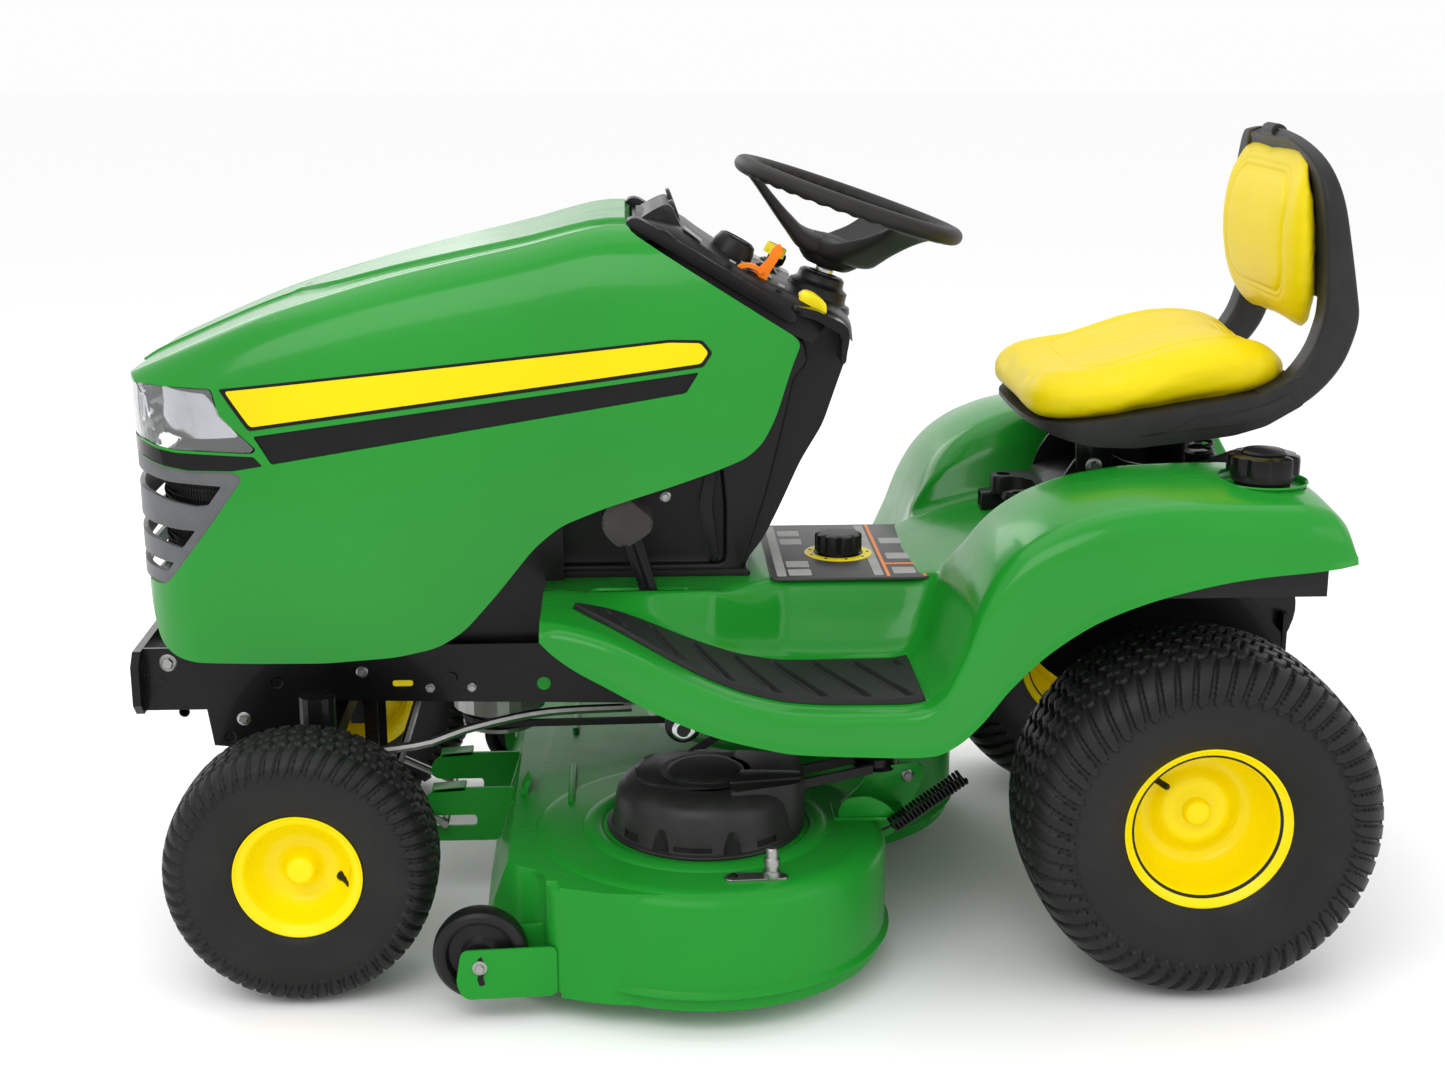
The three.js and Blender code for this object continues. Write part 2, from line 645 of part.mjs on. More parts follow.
// ---- Road wheels ----
// The tread's flats touch the ground, so the drawn radii run through the corners of the facets.
function tyre({ radius, halfWidth, seat, flange, halfRim }) {
  const corner = 1 / Math.cos(Math.PI / TYRE_SIDES);
  const bead = halfRim - 4;
  const middle = (seat + radius) / 2 + 8;
  const outer = [
    [seat, bead], [flange + 2, bead], [middle, halfWidth],
    [radius - 14, halfWidth * 0.93], [radius, halfWidth * 0.66],
  ];
  const inner = [[radius - TYRE_WALL, halfWidth * 0.64], [middle, halfWidth - TYRE_WALL], [seat, bead - 14]];
  const flipped = (side) => side.map(([r, h]) => [r, -h]).reverse();
  const profile = [...outer, ...flipped(outer), ...flipped(inner), ...inner];
  return turned([...profile, profile[0]].map(([r, h]) => [r * corner, h]), TYRE_SIDES);
}

function rim({ seat, flange, halfRim, bore, hub }) {
  const wall = 3.5;
  const inside = seat - GAP - wall;
  const profile = [
    [bore, -36], [hub, -36], [hub, 8], [inside, 8], [inside, -halfRim], [flange, -halfRim],
    [flange, -halfRim + wall], [seat - GAP, -halfRim + wall], [seat - GAP, halfRim - wall],
    [flange, halfRim - wall], [flange, halfRim], [inside, halfRim], [inside, 12], [hub, 12],
    [hub, 30], [bore, 30],
  ];
  return turned([...profile, profile[0]], RIM_SIDES);
}

function addWheel(name, wheel, x, side) {
  const place = (geometry) => {
    const upright = geometry.rotateZ(Math.PI / TYRE_SIDES).rotateX(-Math.PI / 2);
    const turnedOut = side > 0 ? upright : mirrored(upright);
    return moved(turnedOut, x, side * wheel.y, wheel.radius);
  };
  add(`${name}_tyre`, place(tyre(wheel)), RUBBER);
  add(`${name}_rim`, place(rim(wheel)), YELLOW);
}

addWheel("front_left", FRONT_WHEEL, AXLE.front, 1);
addWheel("front_right", FRONT_WHEEL, AXLE.front, -1);
addWheel("rear_left", REAR_WHEEL, AXLE.rear, 1);
addWheel("rear_right", REAR_WHEEL, AXLE.rear, -1);

// ---- Seat ----
function seatRail() {
  const line = (x, rise) => [x, seatPlatformZ(x) + rise];
  return sideProfile([line(-400, 1), line(-745, 1), line(-745, 24), line(-400, 24)], -118, 118);
}

function seatSlide() {
  const line = (x, rise) => [x, seatPlatformZ(x) + rise];
  const outline = [line(-470, 25), [-470, 640], [-560, 660], [-600, 710], [-745, 710], line(-745, 25)];
  const inside = [line(-480, 0), [-480, 631], [-565, 650], [-605, 700], [-735, 700], line(-735, 0)];
  const body = cut(sideProfile(outline, -98, 98), sideProfile(inside, -88, 88));
  const ears = [[93, 105], [-105, -93]].map(([y0, y1]) => box(-548, -502, y0, y1, 612, 704));
  const hole = pinY(SEAT_PIVOT.x, SEAT_PIVOT.z, 8.6, -120, 120, 16);
  const between = box(-560, -490, -92, 92, 655, 720);
  return cut(join(body, ...ears), hole, between);
}

function seatPan() {
  const pan = [
    [-372, 803], [-385, 788], [-420, 762], [-460, 744], [-500, 735], [-560, 747], [-640, 750],
    [-690, 752], [-740, 765], [-790, 793], [-770, 828], [-745, 814], [-650, 799], [-550, 785],
    [-440, 766], [-420, 770], [-392, 788], [-366, 812],
  ];
  const arm = [
    [-740, 765], [-790, 793], [-820, 812], [-842, 850], [-862, 895], [-866, 915], [-858, 960],
    [-845, 1040], [-830, 1110], [-812, 1150], [-790, 1180], [-760, 1186], [-770, 1168], [-786, 1150],
    [-790, 1110], [-798, 1060], [-805, 1000], [-812, 960], [-812, 905], [-800, 870], [-770, 828], [-745, 814],
  ];
  const back = [
    [-832, 960], [-828, 1060], [-820, 1110], [-808, 1150], [-790, 1180], [-760, 1186], [-770, 1168],
    [-786, 1150], [-790, 1110], [-798, 1060], [-805, 1000], [-811, 960],
  ];
  const arms = [[165, 222], [-222, -165]].map(([y0, y1]) => sideProfile(arm, y0, y1));
  const lugs = [[106, 113], [-113, -106]].map(([y0, y1]) => box(-543, -507, y0, y1, 668, 742));
  const pins = [[93, 110], [-110, -93]].map(([y0, y1]) => pinY(SEAT_PIVOT.x, SEAT_PIVOT.z, 8, y0, y1, 12));
  return join(sideProfile(pan, -222, 222), ...arms, sideProfile(back, -200, 200), ...lugs, ...pins);
}

function seatCushion() {
  const outline = [
    [-361, 835], [-366, 816], [-391, 791], [-420, 773], [-440, 769], [-550, 788], [-650, 802], [-745, 817],
    [-766, 831], [-768, 846], [-750, 862], [-700, 878], [-600, 886], [-500, 882], [-420, 868], [-376, 852],
  ];
  const edge = SEAT_HALF_WIDTH;
  return join(sideProfile(outline, -edge + 20, edge - 20), sideProfile(inset(outline, 10), -edge, edge));
}

function backCushion() {
  const outline = [
    [-742, 1040], [-750, 960], [-775, 914], [-800, 908], [-809, 925], [-809, 960], [-802, 1000],
    [-795, 1060], [-787, 1110], [-783, 1146], [-768, 1154], [-752, 1120], [-744, 1080],
  ];
  const edge = SEAT_HALF_WIDTH - 10;
  return join(sideProfile(outline, -edge + 20, edge - 20), sideProfile(inset(outline, 8), -edge, edge));
}

function seatLever() {
  return bar([[-478, 104, 628], [-440, 122, 622], [-415, 136, 628], [-392, 144, 640]], 5, 8, 8);
}

add("seat_rail", seatRail(), BLACK_STEEL);
add("seat_slide", seatSlide(), BLACK_STEEL);
add("seat_pan", seatPan(), BLACK_PLASTIC);
add("seat_cushion", seatCushion(), VINYL);
add("back_cushion", backCushion(), VINYL);
add("seat_lever", seatLever(), STEEL);

// ---- Hand and foot controls ----
const CONSOLE_LEAN = THREE.MathUtils.degToRad(-26.3);

function fuelCap() {
  const profile = [[0, 713], [44, 713], [50, 718], [50, 742], [42, 753], [0, 756]];
  return moved(turned(profile, 20), FUEL_NECK.x, FUEL_NECK.y, 0);
}

function throttleLever() {
  const outline = [[-34, 958], [-14, 958], [-16, 980], [-42, 1006], [-56, 1012], [-56, 1002], [-38, 984]];
  return sideProfile(outline, 117, 123);
}

function ptoKnob() {
  const knob = turned([[0, 2], [7, 2], [7, 12], [17, 16], [17, 26], [0, 29]], 14);
  return knob.rotateY(CONSOLE_LEAN).translate(-50, 10, 989.3);
}

function ignitionKey() {
  const stem = barrel(4, 2, 12, 10);
  const blade = box(-14, 14, -2.5, 2.5, 10, 30);
  return join(stem, blade).rotateY(CONSOLE_LEAN).translate(-60, -120, 951.5);
}

function parkLockTab() {
  return sideProfile([[-119, 917], [-86, 917], [-84, 944], [-96, 950], [-119, 934]], 102, 136);
}

function depthDial() {
  const knob = turned([[0, 0], [34, 0], [34, 8], [36, 12], [36, 26], [26, 36], [0, 36]], 16);
  return moved(knob, -155, 25, TUNNEL_Z + 1);
}

// The foot pedal turns with the lift shaft; its pad is pushed forwards to raise the deck.
function liftPedal() {
  const { x, z, radius, end } = LIFT_SHAFT;
  const sleeve = cut(pinY(x, z, radius + 9, 196, 224, 16), pinY(x, z, radius + 0.3, 180, 240, 16));
  const arm = sideProfile([[x - 9, z + 15], [x + 9, z + 15], [174, 618], [156, 624]], 206, 214);
  const pad = sideProfile([[134, 640], [150, 600], [192, 622], [204, 650], [176, 682]], 176, 244);
  return join(sleeve, arm, pad);
}

function drivePedal(x, rise) {
  const stem = sideProfile([[x - 8, 396], [x + 8, 396], [x + 36, rise - 8], [x + 24, rise - 4]], -214, -206);
  const tread = [[x + 8, rise - 4], [x + 12, rise - 12], [x + 82, rise + 26], [x + 78, rise + 34]];
  const pad = sideProfile(tread, -246, -178);
  return join(stem, pad);
}

add("fuel_cap", fuelCap(), BLACK_PLASTIC);
add("throttle_lever", throttleLever(), ORANGE);
add("pto_knob", ptoKnob(), YELLOW);
add("ignition_key", ignitionKey(), BLACK_PLASTIC);
add("park_lock_tab", parkLockTab(), YELLOW);
add("depth_dial", depthDial(), BLACK_PLASTIC);
add("lift_pedal", liftPedal(), BLACK_STEEL);
add("forward_pedal", drivePedal(130, 590), BLACK_STEEL);
add("reverse_pedal", drivePedal(20, 560), BLACK_STEEL);

// ---- Mower deck ----
const DECK_FRONT = [
  [60, 300], [-110, 0], [-110, -490], [120, -490], [292, -400], [296, -332], [385, -332],
  [385, 150], [378, 360], [330, 430], [292, 448], [284, 500], [200, 530], [60, 540],
];

// The front wall leans back towards the top, to let the steered tyres pass.
const FRONT_WALL = [[399, 20], [327, 250]];

function deckSolid(skin, low, high) {
  const chamber = ({ x, y, radius }) => postAt(x, y, radius - skin, low, high, 36);
  const front = planProfile(inset(DECK_FRONT, skin), low, high);
  const block = join(chamber(LEFT_CHAMBER), chamber(RIGHT_CHAMBER), front);
  const ahead = [...FRONT_WALL.map(([x, z]) => [x - skin, z]), [600, 250], [600, 20]];
  return cut(block, sideProfile(ahead, -600, 600));
}

function deckShell() {
  const { bottom, top, sheet } = DECK;
  const chambers = [LEFT_CHAMBER, RIGHT_CHAMBER];
  const rims = chambers.map(({ x, y, radius }) => postAt(x, y, radius + 7, bottom, bottom + 5, 36));
  const housings = chambers.map(({ x, y }) => postAt(x, y, 42, top - 20, top + 46, 16));
  const shaftHoles = chambers.map(({ x, y }) => postAt(x, y, 13, 100, 300, 16));
  const chuteMouth = box(-20, 262, -560, -430, bottom - 10, top - 24);
  const leftPlate = [[397, 108], [300, 110], [270, 110], [270, 40], [398, 36], [403, 60]];
  const leftBracket = sideProfile(leftPlate, 497, 501);
  const rightPlate = [[384, 112], [300, 116], [268, 116], [268, 66], [384, 66], [388, 90]];
  const rightBracket = sideProfile(rightPlate, -384, -380);
  const wheelPins = [
    pinY(LEFT_GAUGE.x, GAUGE_Z, 8, LEFT_GAUGE.y - 22, 499, 12),
    pinY(RIGHT_GAUGE.x, GAUGE_Z, 8, RIGHT_GAUGE.y - 22, -382, 12),
  ];
  const hook = [
    [370, 104], [343.6, 190], [428, 190], [470, 186], [486, 166], [486, 116], [470, 104], [430, 104],
  ];
  const slot = [[405, 128], [472, 128], [472, 146], [405, 146]];
  const hooks = [[104, 109], [-49, -44]].map(([y0, y1]) => sideProfile(hook, y0, y1, [slot]));
  const hangerPlate = [
    [-205, 150], [-150, 204], [-180, 250], [-210, 262], [-255, 262], [-262, 240], [-222, 160],
  ];
  const hanger = sideProfile(hangerPlate, 236, 241);
  const hangers = [hanger, moved(hanger, -20, -330, 0)];
  const outer = join(deckSolid(0, bottom, top), ...rims, ...housings);
  const shell = cut(outer, deckSolid(sheet, bottom - 20, top - sheet), chuteMouth);
  const bearings = chambers.map(({ x, y }) => postAt(x, y, 42, 150, top - 1, 16));
  const fittings = [...bearings, leftBracket, rightBracket, ...wheelPins, ...hooks, ...hangers];
  return cut(join(shell, ...fittings), ...shaftHoles);
}

// Where the belt enters each cover, from the spindle's own centre.
const LEFT_BELT_MOUTH = box(-160, 150, -160, -40, 262, 286);
const RIGHT_BELT_MOUTH = box(-150, 160, -34, 160, 262, 286);

function spindleCover({ x, y }, beltMouth) {
  const base = DECK.top + GAP;
  const outer = turned([[0, base], [138, base], [132, base + 55], [112, 292], [0, 292]], 24);
  const hollow = turned([[0, base - 5], [134, base - 5], [129, base + 54], [110, 288.5], [0, 288.5]], 24);
  return moved(cut(outer, hollow, beltMouth), x, y, 0);
}

function cuttingSpindle({ x, y }, heading) {
  const shaft = barrel(12, 60, 284, 16);
  const pulley = turned([[0, 262], [66, 262], [60, 268], [60, 280], [66, 285], [0, 285]], 20);
  const collar = barrel(24, BLADE.z + BLADE.thickness, 148, 14);
  const half = BLADE.half;
  const width = BLADE.width / 2;
  const blade = planProfile(
    [[-half, -width], [half, -width], [half - 8, width], [60, width], [-60, width], [-half + 8, width]],
    BLADE.z,
    BLADE.z + BLADE.thickness,
  );
  const assembly = join(shaft, pulley, collar, blade);
  return moved(assembly.rotateZ(heading), x, y, 0);
}

// The flat loop of a belt round pulleys, listed anticlockwise; a back-side idler has side -1.
function beltLoop(pulleys, offset) {
  const line = [];
  pulleys.forEach((from, i) => {
    const to = pulleys[(i + 1) % pulleys.length];
    const r0 = from.side * (from.r + from.side * offset);
    const r1 = to.side * (to.r + to.side * offset);
    const span = Math.hypot(to.x - from.x, to.y - from.y);
    const heading = Math.atan2(to.y - from.y, to.x - from.x);
    const lean = Math.asin((r0 - r1) / span);
    from.leaves = heading + lean - Math.PI / 2;
    to.meets = from.leaves;
  });
  for (const { x, y, r, side, meets, leaves } of pulleys) {
    let sweep = leaves - meets;
    while (sweep * side < 0) sweep += side * 2 * Math.PI;
    while (Math.abs(sweep) > 2 * Math.PI) sweep -= Math.sign(sweep) * 2 * Math.PI;
    const steps = Math.max(2, Math.ceil(Math.abs(sweep) / 0.4));
    const reach = side * (r + side * offset);
    for (let i = 0; i <= steps; i += 1) {
      const turn = meets + (sweep * i) / steps;
      line.push([x + reach * Math.cos(turn), y + reach * Math.sin(turn)]);
    }
  }
  return line;
}

function deckBelt() {
  const pulleys = [
    { ...PTO, r: 50, side: 1 },
    { x: 30, y: 70, r: 30, side: -1 },
    { x: LEFT_CHAMBER.x, y: LEFT_CHAMBER.y, r: 60, side: 1 },
    { x: RIGHT_CHAMBER.x, y: RIGHT_CHAMBER.y, r: 60, side: 1 },
  ];
  const outer = beltLoop(pulleys.map((p) => ({ ...p })), 9);
  const inner = beltLoop(pulleys.map((p) => ({ ...p })), 1.2);
  return planProfile(outer, BELT_Z[0], BELT_Z[1], [inner]);
}

function gaugeWheel({ x, y }) {
  const half = 18;
  const side = [[8.4, half - 6], [40, half - 6], [46, half], [60, half], [65, half - 6]];
  const profile = [...side, ...side.map(([r, h]) => [r, -h]).reverse(), side[0]];
  return moved(alongY(turned(profile, 20)), x, y, GAUGE_Z);
}

function dischargeChute() {
  const roof = [[-492, 190], [-492, 184], [-560, 178], [-694, 96], [-698, 100], [-562, 184]];
  const cheek = [[-492, 186], [-500, 110], [-560, 92], [-696, 92], [-697, 100], [-562, 182]];
  const cheeks = [-12, 250].map((x) => frontProfile(cheek, x, x + 4));
  return join(frontProfile(roof, -12, 254), ...cheeks);
}

function draftRod() {
  const { x, z } = DRAFT_PIVOT;
  const left = 118;
  const right = -58;
  const radius = 6;
  const arm = (y) => strut([x, y, z], [DRAFT_HOOK.x, y, DRAFT_HOOK.z], radius, 10);
  const hook = pinY(DRAFT_HOOK.x, DRAFT_HOOK.z, radius, right - 6, left + 6, 10);
  const stubs = [pinY(x, z, radius, left - 42, left + 6, 10), pinY(x, z, radius, right - 6, right + 44, 10)];
  return join(arm(left), arm(right), hook, ...stubs);
}

function liftShaft() {
  const { x, z, radius, end } = LIFT_SHAFT;
  const shaft = pinY(x, z, radius, -200, end, 16);
  const lever = [[x + 20, z - 18], [x + 20, z + 18], [x - 140, z], [x - 158, z - 14], [x - 140, z - 26]];
  const arms = [[132, 138], [-138, -132]].map(([y0, y1]) => sideProfile(lever, y0, y1));
  return join(shaft, ...arms);
}

add("deck_shell", deckShell(), GREEN);
add("left_spindle_cover", spindleCover(LEFT_CHAMBER, LEFT_BELT_MOUTH), BLACK_PLASTIC);
add("right_spindle_cover", spindleCover(RIGHT_CHAMBER, RIGHT_BELT_MOUTH), BLACK_PLASTIC);
add("left_blade", cuttingSpindle(LEFT_CHAMBER, 0.4), CAST);
add("right_blade", cuttingSpindle(RIGHT_CHAMBER, -0.5), CAST);
add("deck_belt", deckBelt(), RUBBER);
add("left_gauge_wheel", gaugeWheel(LEFT_GAUGE), BLACK_PLASTIC);
add("right_gauge_wheel", gaugeWheel(RIGHT_GAUGE), BLACK_PLASTIC);
add("discharge_chute", dischargeChute(), BLACK_PLASTIC);
add("draft_rod", draftRod(), STEEL);
add("lift_shaft", liftShaft(), BLACK_STEEL);

export default tractor;
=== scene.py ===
"""Looks of the riding lawn mower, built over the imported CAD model.

Places are given in millimetres from the tractor's own centre plane at the ground, +X forward, +Y to
the driver's left, +Z up, and at() turns them into metres in the row's frame.
"""
import json
import math

import bmesh
import bpy
import numpy as np
from mathutils import Matrix, Vector

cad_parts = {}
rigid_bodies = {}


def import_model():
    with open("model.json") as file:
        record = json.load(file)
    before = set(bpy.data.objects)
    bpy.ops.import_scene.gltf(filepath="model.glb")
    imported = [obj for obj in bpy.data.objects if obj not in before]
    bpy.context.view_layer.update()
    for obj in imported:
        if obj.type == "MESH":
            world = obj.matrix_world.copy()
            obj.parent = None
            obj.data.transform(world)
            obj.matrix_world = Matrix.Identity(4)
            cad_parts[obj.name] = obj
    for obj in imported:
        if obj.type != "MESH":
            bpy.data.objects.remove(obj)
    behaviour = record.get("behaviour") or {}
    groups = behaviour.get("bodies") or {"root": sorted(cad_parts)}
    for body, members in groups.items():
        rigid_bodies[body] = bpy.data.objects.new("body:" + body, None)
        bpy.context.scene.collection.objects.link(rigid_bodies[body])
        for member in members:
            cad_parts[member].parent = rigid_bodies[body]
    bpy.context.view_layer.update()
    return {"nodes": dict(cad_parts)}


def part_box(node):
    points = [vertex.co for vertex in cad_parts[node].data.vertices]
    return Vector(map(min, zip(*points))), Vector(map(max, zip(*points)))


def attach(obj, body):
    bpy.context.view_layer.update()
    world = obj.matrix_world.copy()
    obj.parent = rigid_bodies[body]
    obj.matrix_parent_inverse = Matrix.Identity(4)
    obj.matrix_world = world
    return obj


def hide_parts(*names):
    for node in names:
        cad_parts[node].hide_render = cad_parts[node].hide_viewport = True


for leftover in list(bpy.data.objects):
    bpy.data.objects.remove(leftover)
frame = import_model()
nodes = frame["nodes"]

MM = 0.001


def centre_of(node):
    low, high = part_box(node)
    return (Vector(low) + Vector(high)) / 2


CENTRE_PLANE = centre_of("hood_shell").y


def at(x, y, z):
    return Vector((x * MM, y * MM + CENTRE_PLANE, z * MM))


# ---------------------------------------------------------------- materials
class Shader:
    """A Principled material being built, with textures read in the object's own metres."""

    def __init__(self, name, color, roughness, metallic=0.0, coat=0.0, ior=1.5, specular=0.5):
        self.material = bpy.data.materials.new(name)
        self.material.use_nodes = True
        self.tree = self.material.node_tree
        self.bsdf = self.tree.nodes["Principled BSDF"]
        self.bsdf.inputs["Base Color"].default_value = (*color, 1)
        self.bsdf.inputs["Roughness"].default_value = roughness
        self.bsdf.inputs["Metallic"].default_value = metallic
        self.bsdf.inputs["Coat Weight"].default_value = coat
        self.bsdf.inputs["Coat Roughness"].default_value = 0.06
        self.bsdf.inputs["IOR"].default_value = ior
        self.bsdf.inputs["Specular IOR Level"].default_value = specular
        self.color = color
        self.place = self.tree.nodes.new("ShaderNodeTexCoord")
        self.last_bump = None

    def texture(self, kind, scale, stretch=(1, 1, 1), **settings):
        node = self.tree.nodes.new(kind)
        node.inputs["Scale"].default_value = scale
        for key, value in settings.items():
            if key in node.inputs:
                node.inputs[key].default_value = value
            else:
                setattr(node, key, value)
        mapping = self.tree.nodes.new("ShaderNodeMapping")
        mapping.inputs["Scale"].default_value = stretch
        self.tree.links.new(self.place.outputs["Object"], mapping.inputs["Vector"])
        self.tree.links.new(mapping.outputs["Vector"], node.inputs["Vector"])
        return node

    def ramp(self, source, low, high):
        """The source's value, stretched so that low becomes 0 and high becomes 1."""
        node = self.tree.nodes.new("ShaderNodeMapRange")
        node.inputs["From Min"].default_value = low
        node.inputs["From Max"].default_value = high
        self.tree.links.new(source, node.inputs["Value"])
        return node.outputs["Result"]

    def tint(self, factor, other):
        """Mixes the base colour towards the other colour where the factor is high."""
        mix = self.tree.nodes.new("ShaderNodeMix")
        mix.data_type = "RGBA"
        base = self.bsdf.inputs["Base Color"]
        if base.is_linked:
            self.tree.links.new(base.links[0].from_socket, mix.inputs[6])
        else:
            mix.inputs[6].default_value = base.default_value
        mix.inputs[7].default_value = (*other, 1)
        self.tree.links.new(factor, mix.inputs[0])
        self.tree.links.new(mix.outputs[2], base)
        return self

    def rough(self, factor, low, high):
        node = self.tree.nodes.new("ShaderNodeMapRange")
        node.inputs["To Min"].default_value = low
        node.inputs["To Max"].default_value = high
        self.tree.links.new(factor, node.inputs["Value"])
        self.tree.links.new(node.outputs["Result"], self.bsdf.inputs["Roughness"])
        return self

    def bump(self, height, strength, distance):
        node = self.tree.nodes.new("ShaderNodeBump")
        node.inputs["Strength"].default_value = strength
        node.inputs["Distance"].default_value = distance
        self.tree.links.new(height, node.inputs["Height"])
        if self.last_bump:
            self.tree.links.new(self.last_bump, node.inputs["Normal"])
        self.last_bump = node.outputs["Normal"]
        self.tree.links.new(self.last_bump, self.bsdf.inputs["Normal"])
        return self


def painted(name, color, roughness, coat, specular=0.35):
    """Sprayed paint: a faint orange peel, slow colour drift and a little dust on the gloss."""
    shader = Shader(name, color, roughness, coat=coat, specular=specular)
    drift = shader.texture("ShaderNodeTexNoise", 2.5, Detail=2)
    shader.tint(shader.ramp(drift.outputs["Fac"], 0.35, 0.75), tuple(c * 0.86 for c in color))
    dust = shader.texture("ShaderNodeTexNoise", 14, Detail=6, Roughness=0.6)
    shader.rough(shader.ramp(dust.outputs["Fac"], 0.3, 0.8), roughness * 0.85, roughness * 1.35)
    peel = shader.texture("ShaderNodeTexNoise", 420, Detail=1)
    return shader.bump(peel.outputs["Fac"], 0.05, 0.0004).material


def moulded(name, color, roughness, grain, depth):
    """Textured moulding: a fine pebbled grain with uneven gloss."""
    shader = Shader(name, color, roughness, specular=0.22)
    cells = shader.texture("ShaderNodeTexVoronoi", grain, feature="SMOOTH_F1")
    mottle = shader.texture("ShaderNodeTexNoise", 30, Detail=5)
    shader.rough(mottle.outputs["Fac"], roughness * 0.8, roughness * 1.2)
    shader.tint(shader.ramp(mottle.outputs["Fac"], 0.4, 0.9), tuple(min(1, c * 1.4 + 0.001) for c in color))
    return shader.bump(cells.outputs["Distance"], 0.35, depth).material


def vinyl(name, color):
    """Soft upholstery skin: leather grain over slow, shallow undulations."""
    shader = Shader(name, color, 0.42, specular=0.18)
    grain = shader.texture("ShaderNodeTexVoronoi", 700, feature="F1")
    waves = shader.texture("ShaderNodeTexNoise", 22, Detail=3)
    tone = shader.texture("ShaderNodeTexNoise", 5, Detail=3)
    shader.tint(shader.ramp(tone.outputs["Fac"], 0.4, 0.8), tuple(c * 0.93 for c in color))
    shader.rough(waves.outputs["Fac"], 0.36, 0.5)
    shader.bump(waves.outputs["Fac"], 0.12, 0.003)
    return shader.bump(grain.outputs["Distance"], 0.2, 0.0004).material


def rubber(name, color, roughness):
    shader = Shader(name, color, roughness, specular=0.22)
    bloom = shader.texture("ShaderNodeTexNoise", 12, Detail=6, Roughness=0.65)
    shader.tint(shader.ramp(bloom.outputs["Fac"], 0.45, 0.85), tuple(c * 1.5 + 0.002 for c in color))
    shader.rough(bloom.outputs["Fac"], roughness * 0.85, min(1, roughness * 1.15))
    pores = shader.texture("ShaderNodeTexNoise", 900, Detail=2)
    return shader.bump(pores.outputs["Fac"], 0.25, 0.0005).material


def metal(name, color, roughness, brushed=(1, 1, 1)):
    """Bare or plated metal, with the streaks of its finishing along the brushed axis."""
    shader = Shader(name, color, roughness, metallic=1.0)
    streaks = shader.texture("ShaderNodeTexNoise", 260, stretch=brushed, Detail=4)
    stain = shader.texture("ShaderNodeTexNoise", 18, Detail=5)
    shader.tint(shader.ramp(stain.outputs["Fac"], 0.5, 0.85), tuple(c * 0.7 for c in color))
    shader.rough(streaks.outputs["Fac"], roughness * 0.7, roughness * 1.4)
    return shader.bump(streaks.outputs["Fac"], 0.08, 0.0003).material


def cast(name, color, metallic=0.7):
    shader = Shader(name, color, 0.55, metallic=metallic)
    sand = shader.texture("ShaderNodeTexNoise", 500, Detail=3)
    shader.rough(sand.outputs["Fac"], 0.45, 0.7)
    return shader.bump(sand.outputs["Fac"], 0.3, 0.0006).material


def clear(name, color):
    """Clear polycarbonate with faint vertical optic ribs."""
    shader = Shader(name, color, 0.03, coat=0.3, ior=1.49)
    shader.bsdf.inputs["Transmission Weight"].default_value = 0.96
    ribs = shader.texture("ShaderNodeTexWave", 45, bands_direction="X", Distortion=0.0)
    return shader.bump(ribs.outputs["Fac"], 0.12, 0.0008).material


GREEN = painted("green_paint", (0.011, 0.250, 0.020), 0.22, 0.18, 0.22)
DECK_GREEN = painted("deck_green_paint", (0.013, 0.272, 0.024), 0.30, 0.05, 0.14)
YELLOW = painted("yellow_paint", (0.92, 0.74, 0.0006), 0.28, 0.12, 0.16)
STRIPE = painted("yellow_film", (0.80, 0.63, 0.0006), 0.30, 0.06, 0.14)
VINYL = vinyl("yellow_vinyl", (0.74, 0.58, 0.0008))
BLACK_STEEL = painted("black_paint", (0.005, 0.005, 0.0054), 0.28, 0.1, 0.16)
BLACK_MOULDING = moulded("black_moulding", (0.008, 0.008, 0.0078), 0.36, 900, 0.0003)
SEAT_MOULDING = moulded("seat_moulding", (0.017, 0.017, 0.0165), 0.46, 420, 0.0009)
COVER_MOULDING = moulded("cover_moulding", (0.020, 0.020, 0.0195), 0.36, 900, 0.0003)
GLOSS_BLACK = moulded("gloss_black_moulding", (0.004, 0.004, 0.0045), 0.18, 1500, 0.0001)
WHEEL_PAD = moulded("wheel_padding", (0.016, 0.015, 0.014), 0.5, 520, 0.0005)
GRAPHITE = moulded("graphite_moulding", (0.095, 0.098, 0.102), 0.38, 1100, 0.0002)
TYRE = rubber("tyre_rubber", (0.010, 0.010, 0.0098), 0.44)
MAT = rubber("mat_rubber", (0.012, 0.012, 0.0125), 0.52)
PAD = rubber("pad_rubber", (0.034, 0.031, 0.028), 0.5)
BELT = rubber("belt_rubber", (0.028, 0.028, 0.028), 0.6)
ZINC = metal("zinc_plate", (0.36, 0.36, 0.35), 0.34)
CHROME = metal("bright_steel", (0.50, 0.51, 0.52), 0.16)
BLADE_STEEL = metal("blade_steel", (0.30, 0.31, 0.32), 0.4, (1, 0.1, 1))
ENGINE = cast("engine_casting", (0.16, 0.165, 0.17))
LENS = clear("lamp_lens", (0.97, 0.98, 1.0))
ORANGE = moulded("orange_moulding", (0.90, 0.20, 0.004), 0.35, 1200, 0.0002)
YELLOW_MOULDING = moulded("yellow_moulding", (0.95, 0.72, 0.01), 0.35, 1200, 0.0002)
LABEL = moulded("label_film", (0.060, 0.060, 0.058), 0.35, 2000, 0.00005)
PALE = moulded("pale_print", (0.34, 0.34, 0.33), 0.45, 2000, 0.00005)


# ---------------------------------------------------------------- mesh helpers
def piece(name, mesh, material, body, stands_for=()):
    """Adds the mesh to the scene as a piece that rides on the body."""
    obj = bpy.data.objects.new(name, mesh)
    bpy.context.scene.collection.objects.link(obj)
    mesh.materials.clear()
    mesh.materials.append(material)
    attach(obj, body)
    if stands_for:
        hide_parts(*stands_for)
    return obj


